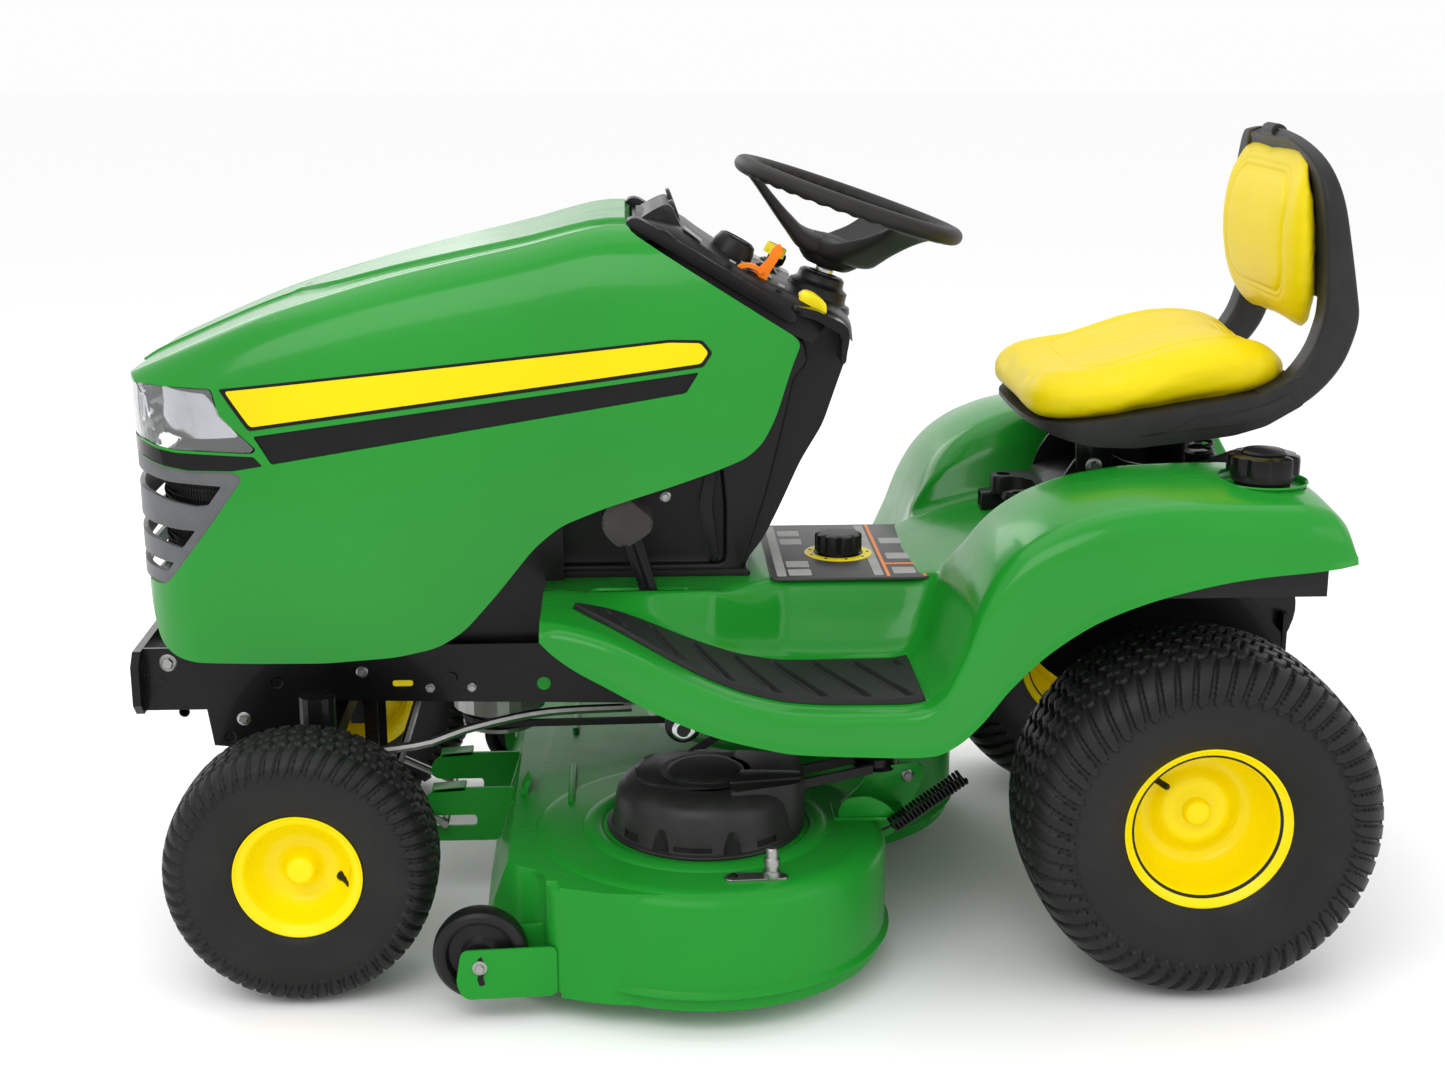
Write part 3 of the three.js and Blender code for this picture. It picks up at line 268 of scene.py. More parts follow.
def mesh_of(name, points, faces):
    mesh = bpy.data.meshes.new(name)
    mesh.from_pydata([tuple(p) for p in points], [], [tuple(f) for f in faces])
    mesh.update()
    return mesh


def mesh_from(bm, name):
    bmesh.ops.recalc_face_normals(bm, faces=bm.faces)
    mesh = bpy.data.meshes.new(name)
    bm.to_mesh(mesh)
    bm.free()
    return mesh


def bm_from(mesh):
    bm = bmesh.new()
    bm.from_mesh(mesh)
    return bm


def grid(name, rows, around=False, along=False, caps=False):
    """A surface through rows of points. around closes each row, along joins the last row to the first."""
    count = len(rows[0])
    points = [p for row in rows for p in row]
    faces = []
    for r in range(len(rows) - (0 if along else 1)):
        after = (r + 1) % len(rows)
        for i in range(count - (0 if around else 1)):
            j = (i + 1) % count
            faces.append((r * count + i, r * count + j, after * count + j, after * count + i))
    if caps:
        faces.append(tuple(range(count)))
        last = (len(rows) - 1) * count
        faces.append(tuple(last + i for i in reversed(range(count))))
    mesh = mesh_of(name, points, faces)
    return mesh_from(bm_from(mesh), name)


def rounded(outline, radius, steps=4):
    """A closed outline with its corners turned into arcs, each no longer than its sides allow."""
    result = []
    count = len(outline)
    for i in range(count):
        before, corner, after = (Vector(outline[(i + k) % count]) for k in (-1, 0, 1))
        a, b = before - corner, after - corner
        reach = min(radius, a.length * 0.48, b.length * 0.48)
        start, end = corner + a.normalized() * reach, corner + b.normalized() * reach
        for k in range(steps + 1):
            t = k / steps
            result.append(tuple(start * (1 - t) ** 2 + corner * 2 * t * (1 - t) + end * t**2))
    return result


def slab(name, outline, low, high, plane="XZ", bevel=0.0, segments=3):
    """A flat solid: the outline in two axes, from low to high along the third, with eased edges."""
    def place(u, v, w):
        return {"XZ": (u, w, v), "XY": (u, v, w), "YZ": (w, u, v)}[plane]

    bm = bmesh.new()
    bottom = [bm.verts.new(at(*place(u, v, low))) for u, v in outline]
    top = [bm.verts.new(at(*place(u, v, high))) for u, v in outline]
    bm.faces.new(bottom)
    bm.faces.new(list(reversed(top)))
    count = len(outline)
    for i in range(count):
        j = (i + 1) % count
        bm.faces.new((bottom[i], top[i], top[j], bottom[j]))
    if bevel:
        edges = [e for e in bm.edges if (e.verts[0] in bottom) == (e.verts[1] in bottom)]
        bmesh.ops.bevel(
            bm, geom=edges, offset=bevel * MM, segments=segments, profile=0.5, affect="EDGES",
            clamp_overlap=True,
        )
    return mesh_from(bm, name)


def lathe(name, profile, axis, origin, sides=64):
    """A solid of revolution. The profile lists (radius, distance along the axis) in millimetres."""
    axis = Vector(axis).normalized()
    side = axis.orthogonal().normalized()
    other = axis.cross(side)
    rows = []
    for radius, height in profile:
        ring = []
        for k in range(sides):
            turn = 2 * math.pi * k / sides
            offset = (side * math.cos(turn) + other * math.sin(turn)) * max(radius, 0.01)
            ring.append(origin + (offset + axis * height) * MM)
        rows.append(ring)
    closed = profile[0] == profile[-1]
    if closed:
        return grid(name, rows[:-1], around=True, along=True)
    return grid(name, rows, around=True, caps=True)


def tube(name, points, radius, resolution=10, smooth=True):
    """A round bar through the points, as a curve."""
    curve = bpy.data.curves.new(name, "CURVE")
    curve.dimensions = "3D"
    curve.bevel_depth = radius * MM
    curve.bevel_resolution = 5
    curve.resolution_u = resolution
    curve.use_fill_caps = True
    if smooth:
        spline = curve.splines.new("BEZIER")
        spline.bezier_points.add(len(points) - 1)
        for knot, place in zip(spline.bezier_points, points):
            knot.co = place
            knot.handle_left_type = knot.handle_right_type = "AUTO"
    else:
        spline = curve.splines.new("POLY")
        spline.points.add(len(points) - 1)
        for knot, place in zip(spline.points, points):
            knot.co = (*place, 1)
    holder = bpy.data.objects.new(name, curve)
    mesh = bpy.data.meshes.new_from_object(holder)
    bpy.data.objects.remove(holder)
    return mesh


def merged(name, *meshes):
    """The meshes as one, still separate shells."""
    bm = bmesh.new()
    for mesh in meshes:
        bm.from_mesh(mesh)
    bmesh.ops.recalc_face_normals(bm, faces=bm.faces)
    result = bpy.data.meshes.new(name)
    bm.to_mesh(result)
    bm.free()
    return result


def moved(mesh, matrix):
    copy = mesh.copy()
    copy.transform(matrix)
    return copy


def with_modifiers(mesh, *modifiers):
    """The mesh after the modifiers, each given as (type, {setting: value})."""
    holder = bpy.data.objects.new("working", mesh)
    bpy.context.scene.collection.objects.link(holder)
    for kind, settings in modifiers:
        modifier = holder.modifiers.new(kind, kind)
        for key, value in settings.items():
            setattr(modifier, key, value)
    graph = bpy.context.evaluated_depsgraph_get()
    result = bpy.data.meshes.new_from_object(holder.evaluated_get(graph))
    bpy.data.objects.remove(holder)
    return result


def boolean(mesh, tool, operation):
    cutter = bpy.data.objects.new("cutter", tool)
    bpy.context.scene.collection.objects.link(cutter)
    result = with_modifiers(mesh, ("BOOLEAN", {"object": cutter, "operation": operation, "solver": "EXACT"}))
    bpy.data.objects.remove(cutter)
    return result


def smooth(obj_or_mesh, degrees=35):
    mesh = getattr(obj_or_mesh, "data", obj_or_mesh)
    mesh.shade_smooth()
    mesh.set_sharp_from_angle(angle=math.radians(degrees))
    return obj_or_mesh


def eased(obj, width, segments=2, degrees=32):
    """Rounds the object's sharp edges without changing its own mesh."""
    modifier = obj.modifiers.new("eased", "BEVEL")
    modifier.width = width * MM
    modifier.segments = segments
    modifier.limit_method = "ANGLE"
    modifier.angle_limit = math.radians(degrees)
    modifier.harden_normals = True
    return obj


def curve_through(table):
    """A smooth function through [(x, value), ...] that never overshoots its points."""
    table = sorted(table)
    xs = np.array([x for x, _ in table], float)
    vs = np.array([v for _, v in table], float)
    slopes = np.diff(vs) / np.diff(xs)
    tangents = np.zeros(len(xs))
    tangents[0], tangents[-1] = slopes[0], slopes[-1]
    for i in range(1, len(xs) - 1):
        if slopes[i - 1] * slopes[i] > 0:
            tangents[i] = 2 * slopes[i - 1] * slopes[i] / (slopes[i - 1] + slopes[i])

    def value(x):
        x = min(max(x, xs[0]), xs[-1])
        i = min(max(int(np.searchsorted(xs, x)) - 1, 0), len(xs) - 2)
        width = xs[i + 1] - xs[i]
        t = (x - xs[i]) / width
        a, b = vs[i], vs[i + 1]
        return float(
            a * (1 + 2 * t) * (1 - t) ** 2
            + tangents[i] * width * t * (1 - t) ** 2
            + b * t**2 * (3 - 2 * t)
            + tangents[i + 1] * width * t**2 * (t - 1)
        )

    return value


# ---------------------------------------------------------------- stage
def area_light(name, place, target, size, energy, color=(1, 1, 1)):
    data = bpy.data.lights.new(name, "AREA")
    data.shape = "RECTANGLE"
    data.size, data.size_y = size
    data.energy = energy
    data.color = color
    lamp = bpy.data.objects.new(name, data)
    lamp.location = place
    lamp.rotation_euler = (Vector(target) - Vector(place)).to_track_quat("-Z", "Y").to_euler()
    bpy.context.scene.collection.objects.link(lamp)


def stage():
    bpy.context.scene.view_settings.view_transform = "Standard"
    floor_mesh = grid("floor", [[Vector((x, y, -0.0015)) for y in (-30, 30)] for x in (-30, 30)])
    floor = bpy.data.objects.new("floor", floor_mesh)
    bpy.context.scene.collection.objects.link(floor)
    paper = Shader("floor_paper", (0.985, 0.985, 0.98), 0.9, specular=0.02)
    fibre = paper.texture("ShaderNodeTexNoise", 40, Detail=3)
    paper.bump(fibre.outputs["Fac"], 0.03, 0.001)
    floor_mesh.materials.append(paper.material)

    world = bpy.data.worlds.new("studio")
    world.use_nodes = True
    background = world.node_tree.nodes["Background"]
    background.inputs["Color"].default_value = (0.985, 0.985, 0.99, 1)
    background.inputs["Strength"].default_value = 1.0
    bpy.context.scene.world = world
    area_light("key", (1.2, 3.2, 3.6), (0, 0.2, 0.5), (3.2, 2.2), 62)
    area_light("fill", (-3.4, 2.6, 2.2), (0, 0, 0.6), (2.5, 2.5), 20)
    area_light("top", (0.1, -0.6, 3.9), (0, 0, 0.6), (4.5, 3.0), 36)
    area_light("rim", (1.8, -3.2, 2.4), (0, 0, 0.7), (2.5, 2.0), 30)

    data = bpy.data.cameras.new("camera")
    data.sensor_width = 36
    data.lens = 50.87
    data.clip_end = 100
    camera = bpy.data.objects.new("camera", data)
    camera.location = at(164, 3047, 1348)
    camera.rotation_euler = Vector((-0.0451, -0.9660, -0.2545)).to_track_quat("-Z", "Y").to_euler()
    bpy.context.scene.collection.objects.link(camera)
    bpy.context.scene.camera = camera


stage()


# ---------------------------------------------------------------- hood
HOOD_SKIN = 3.5
NOSE_X = 884
HOOD_TOP_LINE = curve_through(
    [(NOSE_X, 835), (862, 849), (820, 868), (753, 897), (680, 926), (581, 957), (500, 980), (380, 1008),
     (300, 1026), (240, 1042), (190, 1051), (-90, 1052)]
)
# Half-width at each distance below the top line.
HOOD_WIDTH = curve_through(
    [(0, 178), (2, 184), (6, 193), (13, 204), (24, 215), (40, 226), (90, 242), (150, 252), (240, 260),
     (400, 264), (660, 262)]
)
HOOD_REACH = curve_through(
    [(NOSE_X, 0.80), (862, 0.87), (835, 0.93), (800, 0.965), (740, 0.99), (680, 1), (-90, 1)]
)
PANEL_HALF_WIDTH = curve_through([(650, 0), (600, 62), (540, 92), (380, 122), (190, 148), (-90, 150)])
HOOD_OUTLINE = [
    (884, 838), (872, 823), (853, 815), (851, 700), (853, 537), (849, 500), (837, 464), (812, 449),
    (780, 445), (600, 443), (500, 450), (440, 463), (400, 488), (350, 545), (300, 608), (262, 640),
    (200, 665), (100, 697), (40, 718), (0, 735), (-22, 755), (-40, 790), (-62, 860), (-75, 893),
    (-68, 903), (166, 1048), (176, 1120), (900, 1120), (900, 838),
]
HOOD_HOLLOW = [
    (874, 834), (868, 826), (848, 813), (847, 700), (849, 537), (845, 502), (833, 468), (820, 380),
    (-130, 380), (-130, 866), (172, 1054), (172, 1130), (874, 1130),
]
LAMP_OUTLINE = [
    (900, 760), (900, 837.5), (741, 834), (731, 799), (680, 752), (686, 746), (793, 750), (842, 759)
]
STRIPE_OUTLINE = [(722, 831), (687, 783), (63, 868), (53, 883), (64, 896), (107, 897)]
BORDER_OUTLINE = [(731, 834), (690, 777.5), (60, 863), (47, 883), (61, 900), (107, 901)]
RECESS_OUTLINE = [(684, 770), (660, 731), (84, 827), (66, 856)]
BAND_OUTLINE = [
    (900, 758), (846, 756), (794, 746.5), (684, 742), (672, 729), (714, 722), (777, 722), (846, 734),
    (900, 735),
]
GRILLE_FRAME = [
    (900, 735), (846, 733.5), (777, 721), (714, 721), (700, 712), (713, 694), (750, 643), (788, 594),
    (810, 566), (824, 553), (900, 552),
]
GRILLE_WINDOWS = (
    [(900, 710), (836, 709), (790, 704), (731, 700), (751, 673), (768, 671), (834, 683), (900, 684)],
    [(900, 641), (831, 640), (771, 637), (791, 611), (829, 617), (900, 618)],
    [(900, 590), (806, 588), (818, 573), (900, 574)],
)


def panel_rise(x, y):
    edge = (PANEL_HALF_WIDTH(x) - abs(y)) / 9
    step = min(max(edge + 0.5, 0), 1)
    return 7 * step * step * (3 - 2 * step)


def hood_body(skin):
    """The hood's outside as one closed body, moved in by the skin's thickness."""
    stations = [-90, 0, 60, 120, 165, 190, 215, 240, 270, 300, 340, 380, 420, 460, 500, 540, 560, 580,
                600, 615, 630, 645, 660, 680, 700, 725, 750, 775, 800, 820, 835, 850, 862, 872, 879, NOSE_X]
    side_steps = 16
    falls = [34, 28, 22, 17, 13, 9, 6, 4, 2, 1]
    top_ys = [176, 173, 171, 168.5, 166, 163.5, 161, 158, 150]
    rows = []
    for x in stations:
        top = HOOD_TOP_LINE(x)
        reach = HOOD_REACH(x)
        inner = PANEL_HALF_WIDTH(x)
        half = []
        for k in range(side_steps + 1):
            z = 400 + (top - 440) * k / side_steps
            half.append((HOOD_WIDTH(top - z) * reach - skin, z))
        half += [(HOOD_WIDTH(fall) * reach - skin, top - fall - skin * (1 - fall / 34)) for fall in falls]
        for y in top_ys:
            groove = 2.6 * math.exp(-(((y - 167) / 3.2) ** 2)) if x < 868 else 0
            half.append((y * reach, top - groove - skin))
        for y in (inner + 7, inner + 4.5, inner + 2, inner, inner - 2, inner - 4.5, inner - 7, inner * 0.6):
            y = max(y, 1)
            half.append((min(y, 149) * reach, top + panel_rise(x, min(y, 149)) - skin))
        half.append((0, top + panel_rise(x, 0) + 0.5 - skin))
        other = [(-y, z) for y, z in reversed(half[:-1])]
        rows.append([at(x, y, z) for y, z in half + other])
    return grid("hood_body", rows, around=True, caps=True)


def nose_plan(skin):
    """A tall block whose plan rounds the hood's nose."""
    reach, power = 184 - skin, 2.7
    half = []
    for k in range(33):
        turn = math.pi / 2 * k / 32
        x = 700 + reach * math.cos(turn) ** (2 / power)
        half.append((x, (268 - skin) * math.sin(turn) ** (2 / power)))
    outline = half + [(-150, 268 - skin), (-150, skin - 268)] + [(x, -y) for x, y in reversed(half[1:])]
    return slab("nose_plan", outline, 380, 1150, plane="XY")


def hood_solid(skin):
    return boolean(hood_body(skin), nose_plan(skin), "INTERSECT")


def side_cut(outline, low=-300, high=300, corner=6):
    return slab("side_cut", rounded(outline, corner), low, high)


def hood_layer(outline, outer, inner, low=-300, high=300, corner=6):
    """The part of the hood's wall between two depths that a side-view outline takes in."""
    shell = boolean(hood_solid(outer), side_cut(outline, low, high, corner), "INTERSECT")
    return boolean(shell, hood_solid(inner), "DIFFERENCE")


def hood():
    shell = boolean(hood_solid(0), side_cut(HOOD_OUTLINE, corner=18), "INTERSECT")
    hollow = boolean(hood_solid(HOOD_SKIN), side_cut(HOOD_HOLLOW), "INTERSECT")
    shell = boolean(shell, hollow, "DIFFERENCE")
    openings = [(LAMP_OUTLINE, 5), (GRILLE_FRAME, 14), (BAND_OUTLINE, 3)]
    for outline, corner in openings:
        shell = boolean(shell, side_cut(outline, corner=corner), "DIFFERENCE")
    for low, high in ((150, 300), (-300, -150)):
        shell = boolean(shell, side_cut(RECESS_OUTLINE, low, high, 4), "DIFFERENCE")
    smooth(piece("hood_skin", shell, GREEN, "hood", ["hood_shell"]), 28)
    for low, high, side in ((150, 300, "left"), (-300, -150, "right")):
        recess = hood_layer([(x, z) for x, z in RECESS_OUTLINE], 4, 8, low, high, 4)
        smooth(piece(f"{side}_recess", recess, GLOSS_BLACK, "hood"))
        border = hood_layer(BORDER_OUTLINE, -0.5, 1, low, high, 5)
        smooth(piece(f"{side}_stripe_border", border, GLOSS_BLACK, "hood"))
        stripe = hood_layer(STRIPE_OUTLINE, -0.8, 0.8, low, high, 5)
        smooth(piece(f"{side}_stripe", stripe, STRIPE, "hood"))


def nose_sheet(name, reach, half_width, heights, ripple=0):
    """A sheet that follows the plan of the nose, some way behind the hood's wall."""
    rows = []
    for k, z in enumerate(heights):
        row = []
        for i in range(-44, 45):
            turn = math.pi / 2 * i / 44
            ahead = reach * abs(math.cos(turn)) ** (2 / 2.7)
            y = half_width * math.copysign(abs(math.sin(turn)) ** (2 / 2.7), turn)
            row.append(at(697 + ahead + (ripple if k % 2 else 0), y, z))
        rows.append(row)
    return grid(name, rows)


def grille():
    frame_mesh = hood_layer(GRILLE_FRAME, 2, 9, corner=12)
    for window in GRILLE_WINDOWS:
        frame_mesh = boolean(frame_mesh, side_cut(window, corner=3), "DIFFERENCE")
    smooth(piece("grille_frame", frame_mesh, GRAPHITE, "hood", ["grille"]))
    band = hood_layer(BAND_OUTLINE, 1, 8, corner=3)
    smooth(piece("grille_band", band, GLOSS_BLACK, "hood"))
    # Painted shade: a solid black sheet just behind the net stands in for the shaded space inside the nose.
    backing = with_modifiers(
        nose_sheet("grille_shade_backing", 144, 246, range(556, 721, 12)), ("SOLIDIFY", {"thickness": 0.002})
    )
    backing = boolean(backing, side_cut([(900, 716), (720, 712), (800, 560), (900, 560)]), "INTERSECT")
    smooth(piece("grille_shade_backing", backing, BLACK_MOULDING, "hood"))
    net = with_modifiers(
        nose_sheet("grille_net", 148, 249, range(566, 719, 8), 2), ("WIREFRAME", {"thickness": 0.0018})
    )
    wanted = side_cut([(900, 714), (722, 710), (805, 562), (900, 562)])
    piece("grille_net", boolean(net, wanted, "INTERSECT"), BLACK_MOULDING, "hood")


def headlights():
    for side, low, high in (("left", 34, 300), ("right", -300, -34)):
        inset = [
            (900, 761.5), (900, 836), (742.5, 832.5), (733, 799), (683, 752.5), (688, 747.5), (793, 751.5),
            (842, 760.5),
        ]
        lens = hood_layer(inset, 1, 3.5, low, high, 5)
        stands = ["headlights"] if side == "left" else []
        smooth(piece(f"{side}_lens", lens, LENS, "hood", stands))
        bowl = with_modifiers(
            nose_sheet("reflector", 146, 234, range(756, 837, 16)), ("SOLIDIFY", {"thickness": 0.002})
        )
        bowl = boolean(
            bowl,
            side_cut([(900, 762), (900, 830), (750, 826), (706, 766), (790, 760)], low, high),
            "INTERSECT",
        )
        smooth(piece(f"{side}_reflector", bowl, CHROME, "hood"))
        sign = 1 if side == "left" else -1
        bulb = lathe(
            "bulb",
            [(0, 0), (8, 0), (9, 14), (7, 24), (3, 30), (0, 31)],
            (1, 0, 0),
            at(812, sign * 120, 798),
            24,
        )
        smooth(piece(f"{side}_bulb", bulb, PALE, "hood"))
    bridge = hood_layer([(900, 762), (900, 836), (800, 834), (800, 760)], 1.5, 6, -32.5, 32.5, 2)
    smooth(piece("lamp_bridge", bridge, GRAPHITE, "hood"))
    divider = slab("divider", rounded([(800, 766), (866, 766), (872, 828), (800, 828)], 5), -30, 30)
    smooth(piece("lamp_divider", divider, GRAPHITE, "hood"), 35)


hood()
grille()
headlights()


# ---------------------------------------------------------------- pieces kept as modelled
def carried():
    """Finishes and eased edges for the plain machined and folded pieces that stay as they are."""
    kept = (
        (BLACK_STEEL, 1.2, "left_frame_rail right_frame_rail engine_plate hitch_plate front_axle"),
        (BLACK_STEEL, 1.2, "left_spindle right_spindle tie_rod lift_shaft seat_rail front_bumper"),
        (ENGINE, 3, "engine_block transaxle steering_sector"),
        (BLACK_MOULDING, 4, "blower_housing fuel_tank"),
        (BLADE_STEEL, 0.6, "left_blade right_blade"),
        (ZINC, 0.8, "steering_shaft pto_clutch draft_rod drag_link"),
        (BELT, 0.8, "deck_belt"),
    )
    for material, width, names in kept:
        for name in names.split():
            node = bpy.data.objects[name]
            node.data.materials.clear()
            node.data.materials.append(material)
            eased(node, width)


carried()


# ---------------------------------------------------------------- tyres and rims
def dense(name, places, along=False):
    """A closed-round surface from an array of rows of points, quick enough for very fine detail."""
    rows, count, _ = places.shape
    index = np.arange(rows * count).reshape(rows, count)
    index = np.concatenate([index, index[:, :1]], axis=1)
    if along:
        index = np.concatenate([index, index[:1]], axis=0)
    corners = (index[:-1, :-1], index[:-1, 1:], index[1:, 1:], index[1:, :-1])
    mesh = bpy.data.meshes.new(name)
    mesh.from_pydata(places.reshape(-1, 3).tolist(), [], np.stack(corners, axis=-1).reshape(-1, 4).tolist())
    mesh.update()
    return mesh


def catmull(points, steps):
    """Points along a smooth curve through the given ones."""
    knots = [points[0], *points, points[-1]]
    result = []
    for a, b, c, d in zip(knots, knots[1:], knots[2:], knots[3:]):
        a, b, c, d = (np.array(p, float) for p in (a, b, c, d))
        for k in range(steps):
            t = k / steps
            result.append(
                0.5 * (
                    2 * b + (c - a) * t + (
                        2 * a - 5 * b + 4 * c - d
                    ) * t**2 + (3 * b - a - 3 * c + d) * t**3
                )
            )
    result.append(np.array(points[-1], float))
    return np.array(result)


def resampled(line, fine, coarse, reach):
    """The line again, with fine spacing up to the reach along it and coarse spacing after."""
    lengths = np.concatenate([[0], np.cumsum(np.linalg.norm(np.diff(line, axis=0), axis=1))])
    near = np.arange(0, reach, fine)
    far = np.linspace(reach, lengths[-1], max(3, int((lengths[-1] - reach) / coarse)))
    stops = np.concatenate([near, far])
    return np.stack([np.interp(stops, lengths, line[:, k]) for k in (0, 1)], axis=1), stops


def soft_step(value, width):
    t = np.clip(value / width, 0, 1)
    return t * t * (3 - 2 * t)


def tread_height(turn, s, side, tread):
    """Height of the turf tread over the carcass, at the angle and the distance s from the crown."""
    u = turn / (2 * math.pi) * tread["blocks"]
    pitch = 2 * math.pi * tread["radius"] / tread["blocks"]
    weave = np.clip(2.6 * np.sin(2 * math.pi * u), -1, 1)
    place = s * side
    clear = np.full(np.broadcast(u, s).shape, 99.0)
    row = np.zeros_like(clear)
    for border in tread["borders"]:
        edge = border + 3.2 * weave
        clear = np.minimum(clear, np.abs(place - edge) - 1.5)
        row = row + (place > edge)
    shoulder = tread["borders"][-1]
    outside = s > shoulder
    slant = np.where(outside, 0.012 * (s - shoulder), 0.012 * place)
    phase = (u + 0.5 * row + slant) % 1
    off_line = 0.5 - np.abs(phase - 0.5)
    groove = np.where(outside, 1.5 + 0.045 * (s - shoulder), 1.4)
    clear = np.minimum(clear, off_line * pitch - groove)
    tip = tread["end"] - 15 * (np.abs(phase - 0.5) * 2) ** 1.3 * outside
    clear = np.minimum(clear, (tip - s) * 0.7)
    return tread["depth"] * soft_step(clear, 1.8)


def tyre(name, wheel, tread, centre):
    half = catmull(wheel["profile"], 14)
    line, stops = resampled(half, 2.5, 9, tread["end"] + 6)
    along_line = np.gradient(line, axis=0)
    along_line /= np.linalg.norm(along_line, axis=1)[:, None]
    normal = np.stack([along_line[:, 1], -along_line[:, 0]], axis=1)
    count = tread["blocks"] * tread["fineness"]
    turn = 2 * math.pi * np.arange(count) / count
    halves = []
    for side in (1, -1):
        lift = tread_height(turn[None, :], stops[:, None], side, tread)
        for ring, width, height in wheel["rings"]:
            bump = height * np.exp(-(((line[:, 0] - ring) / width) ** 2)) * (line[:, 1] > wheel["bead"])
            lift = lift + bump[:, None]
        radius = line[:, 0][:, None] + normal[:, 0][:, None] * lift
        width = (line[:, 1][:, None] + normal[:, 1][:, None] * lift) * side
        halves.append((radius, width))
    radius = np.concatenate([halves[1][0][::-1], halves[0][0][1:]])
    width = np.concatenate([halves[1][1][::-1], halves[0][1][1:]])
    places = np.stack(
        [
            centre.x + radius * np.cos(turn) * MM,
            centre.y + width * MM,
            centre.z + radius * np.sin(turn) * MM,
        ],
        axis=-1,
    )
    mesh = dense(name, places, along=True)
    mesh.flip_normals()
    return mesh


FRONT_TYRE = {
    "profile": [
        (184.0, 0), (183.4, 22), (181.6, 42), (177, 56), (168, 66.5), (155, 71.5), (140, 72.5), (124, 70),
        (108, 64), (96, 58.5), (89.5, 55.5), (87.5, 52), (82, 51.5), (77, 50), (76.4, 40),
    ],
    "rings": [(95, 2.2, 1.6), (104, 1.0, 0.7), (143, 1.2, 0.6)],
    "bead": 53,
}
REAR_TYRE = {
    "profile": [
        (245.8, 0), (245.2, 30), (243.6, 60), (239, 82), (229, 100), (213, 112), (192, 117), (168, 116),
        (146, 108), (130, 98), (120, 90.5), (116, 87.5), (114.5, 84), (108, 84), (102.5, 82), (101.8, 70),
    ],
    "rings": [(124, 3, 2.0), (138, 1.2, 0.8), (190, 1.5, 0.8), (200, 1.0, 0.5)],
    "bead": 85,
}
FRONT_TREAD = {
    "blocks": 54, "radius": 189, "borders": (-38, -13, 13, 38), "end": 91, "depth": 5.0, "fineness": 11
}
REAR_TREAD = {
    "blocks": 56, "radius": 252, "borders": (-72, -44, -15, 15, 44, 72), "end": 150, "depth": 6.2,
    "fineness": 12,
}
FRONT_RIM = [
    (0.01, 38), (12, 38), (17, 36.5), (20, 33), (21.5, 25), (23, 14), (27, 8), (33, 5), (40, 4.5), (48, 6),
    (56, 12),
    (63, 21), (68.5, 32), (71.5, 41), (74, 47), (77, 50.5), (82, 52.5), (85.5, 55), (87.5, 57.5), (89, 57),
    (89.2, 54.5),
    (87.6, 52.5), (81, 50.5), (76, 46), (74.2, 36), (74.2, -36), (76, -46), (81, -50.5), (87.6, -52.5),
    (89.2, -54.5), (89, -57), (87.5, -57.5), (85.5, -55), (77, -50), (73.5, -45), (72.5, -20), (66, 8),
    (58, 1.5),
    (50, -0.5), (40, 3), (30, 2), (21.5, 0), (21.5, -34), (10.4, -34), (10.4, -20), (0.01, -20),
]
REAR_RIM = [
    (0.01, 33), (15, 33), (17.5, 31), (18.5, 27), (20, 20), (28, 17), (33, 19), (41, 20), (50, 17), (57, 9),
    (66, 4), (74, 5), (84, 13), (92, 28), (97, 46), (98.5, 62), (99.5, 74), (103, 80), (108, 83.5), (112, 87),
    (115, 90.5), (117.2, 90), (117.4, 87), (115.6, 84.6), (108, 81.5), (102.5, 78), (99.8, 68), (99.8, -68),
    (102.5, -78), (108, -81.5), (115.6, -84.6), (117.4, -87), (117.2, -90), (115, -90.5), (112, -87),
    (103, -80), (98.5, -62), (97, -20), (88, 10), (75, 1), (66, 0), (56, 5), (48, 13), (30, 12), (29, 8),
    (29, -34), (12.9, -34), (12.9, -20), (0.01, -20),
]


def valve(name, reach, height, body, centre, side):
    stem = lathe(
        f"{name}_valve",
        [(0, 0), (7.5, 0), (7, 5), (5, 9), (4.4, 22), (4.8, 23), (4.8, 33), (3.6, 35), (0, 35)],
        (-0.5, side * 0.75, -0.18),
        centre + Vector((reach[0] * MM, side * height * MM, reach[1] * MM)),
        20,
    )
    smooth(piece(f"{name}_valve", stem, BLACK_MOULDING, body), 40)


def wheel(name, shape, tread, profile, side, valve_at, valve_height):
    centre = centre_of(f"{name}_tyre")
    body = f"{name}_wheel"
    mesh = tyre(f"{name}_tread", shape, tread, centre)
    smooth(piece(f"{name}_tread", mesh, TYRE, body, [f"{name}_tyre"]), 60)
    turned_out = [(r, side * h) for r, h in profile]
    dish = lathe(f"{name}_dish", turned_out, (0, 1, 0), centre, 96)
    smooth(piece(f"{name}_dish", dish, YELLOW, body, [f"{name}_rim"]), 50)
    valve(name, valve_at, valve_height, body, centre, side)


def wheels():
    wheel("front_left", FRONT_TYRE, FRONT_TREAD, FRONT_RIM, 1, (-53, -18), 9)
    wheel("front_right", FRONT_TYRE, FRONT_TREAD, FRONT_RIM, -1, (-53, -18), 9)
    wheel("rear_left", REAR_TYRE, REAR_TREAD, REAR_RIM, 1, (66, 50), 12)
    wheel("rear_right", REAR_TYRE, REAR_TREAD, REAR_RIM, -1, (66, 50), 12)


wheels()


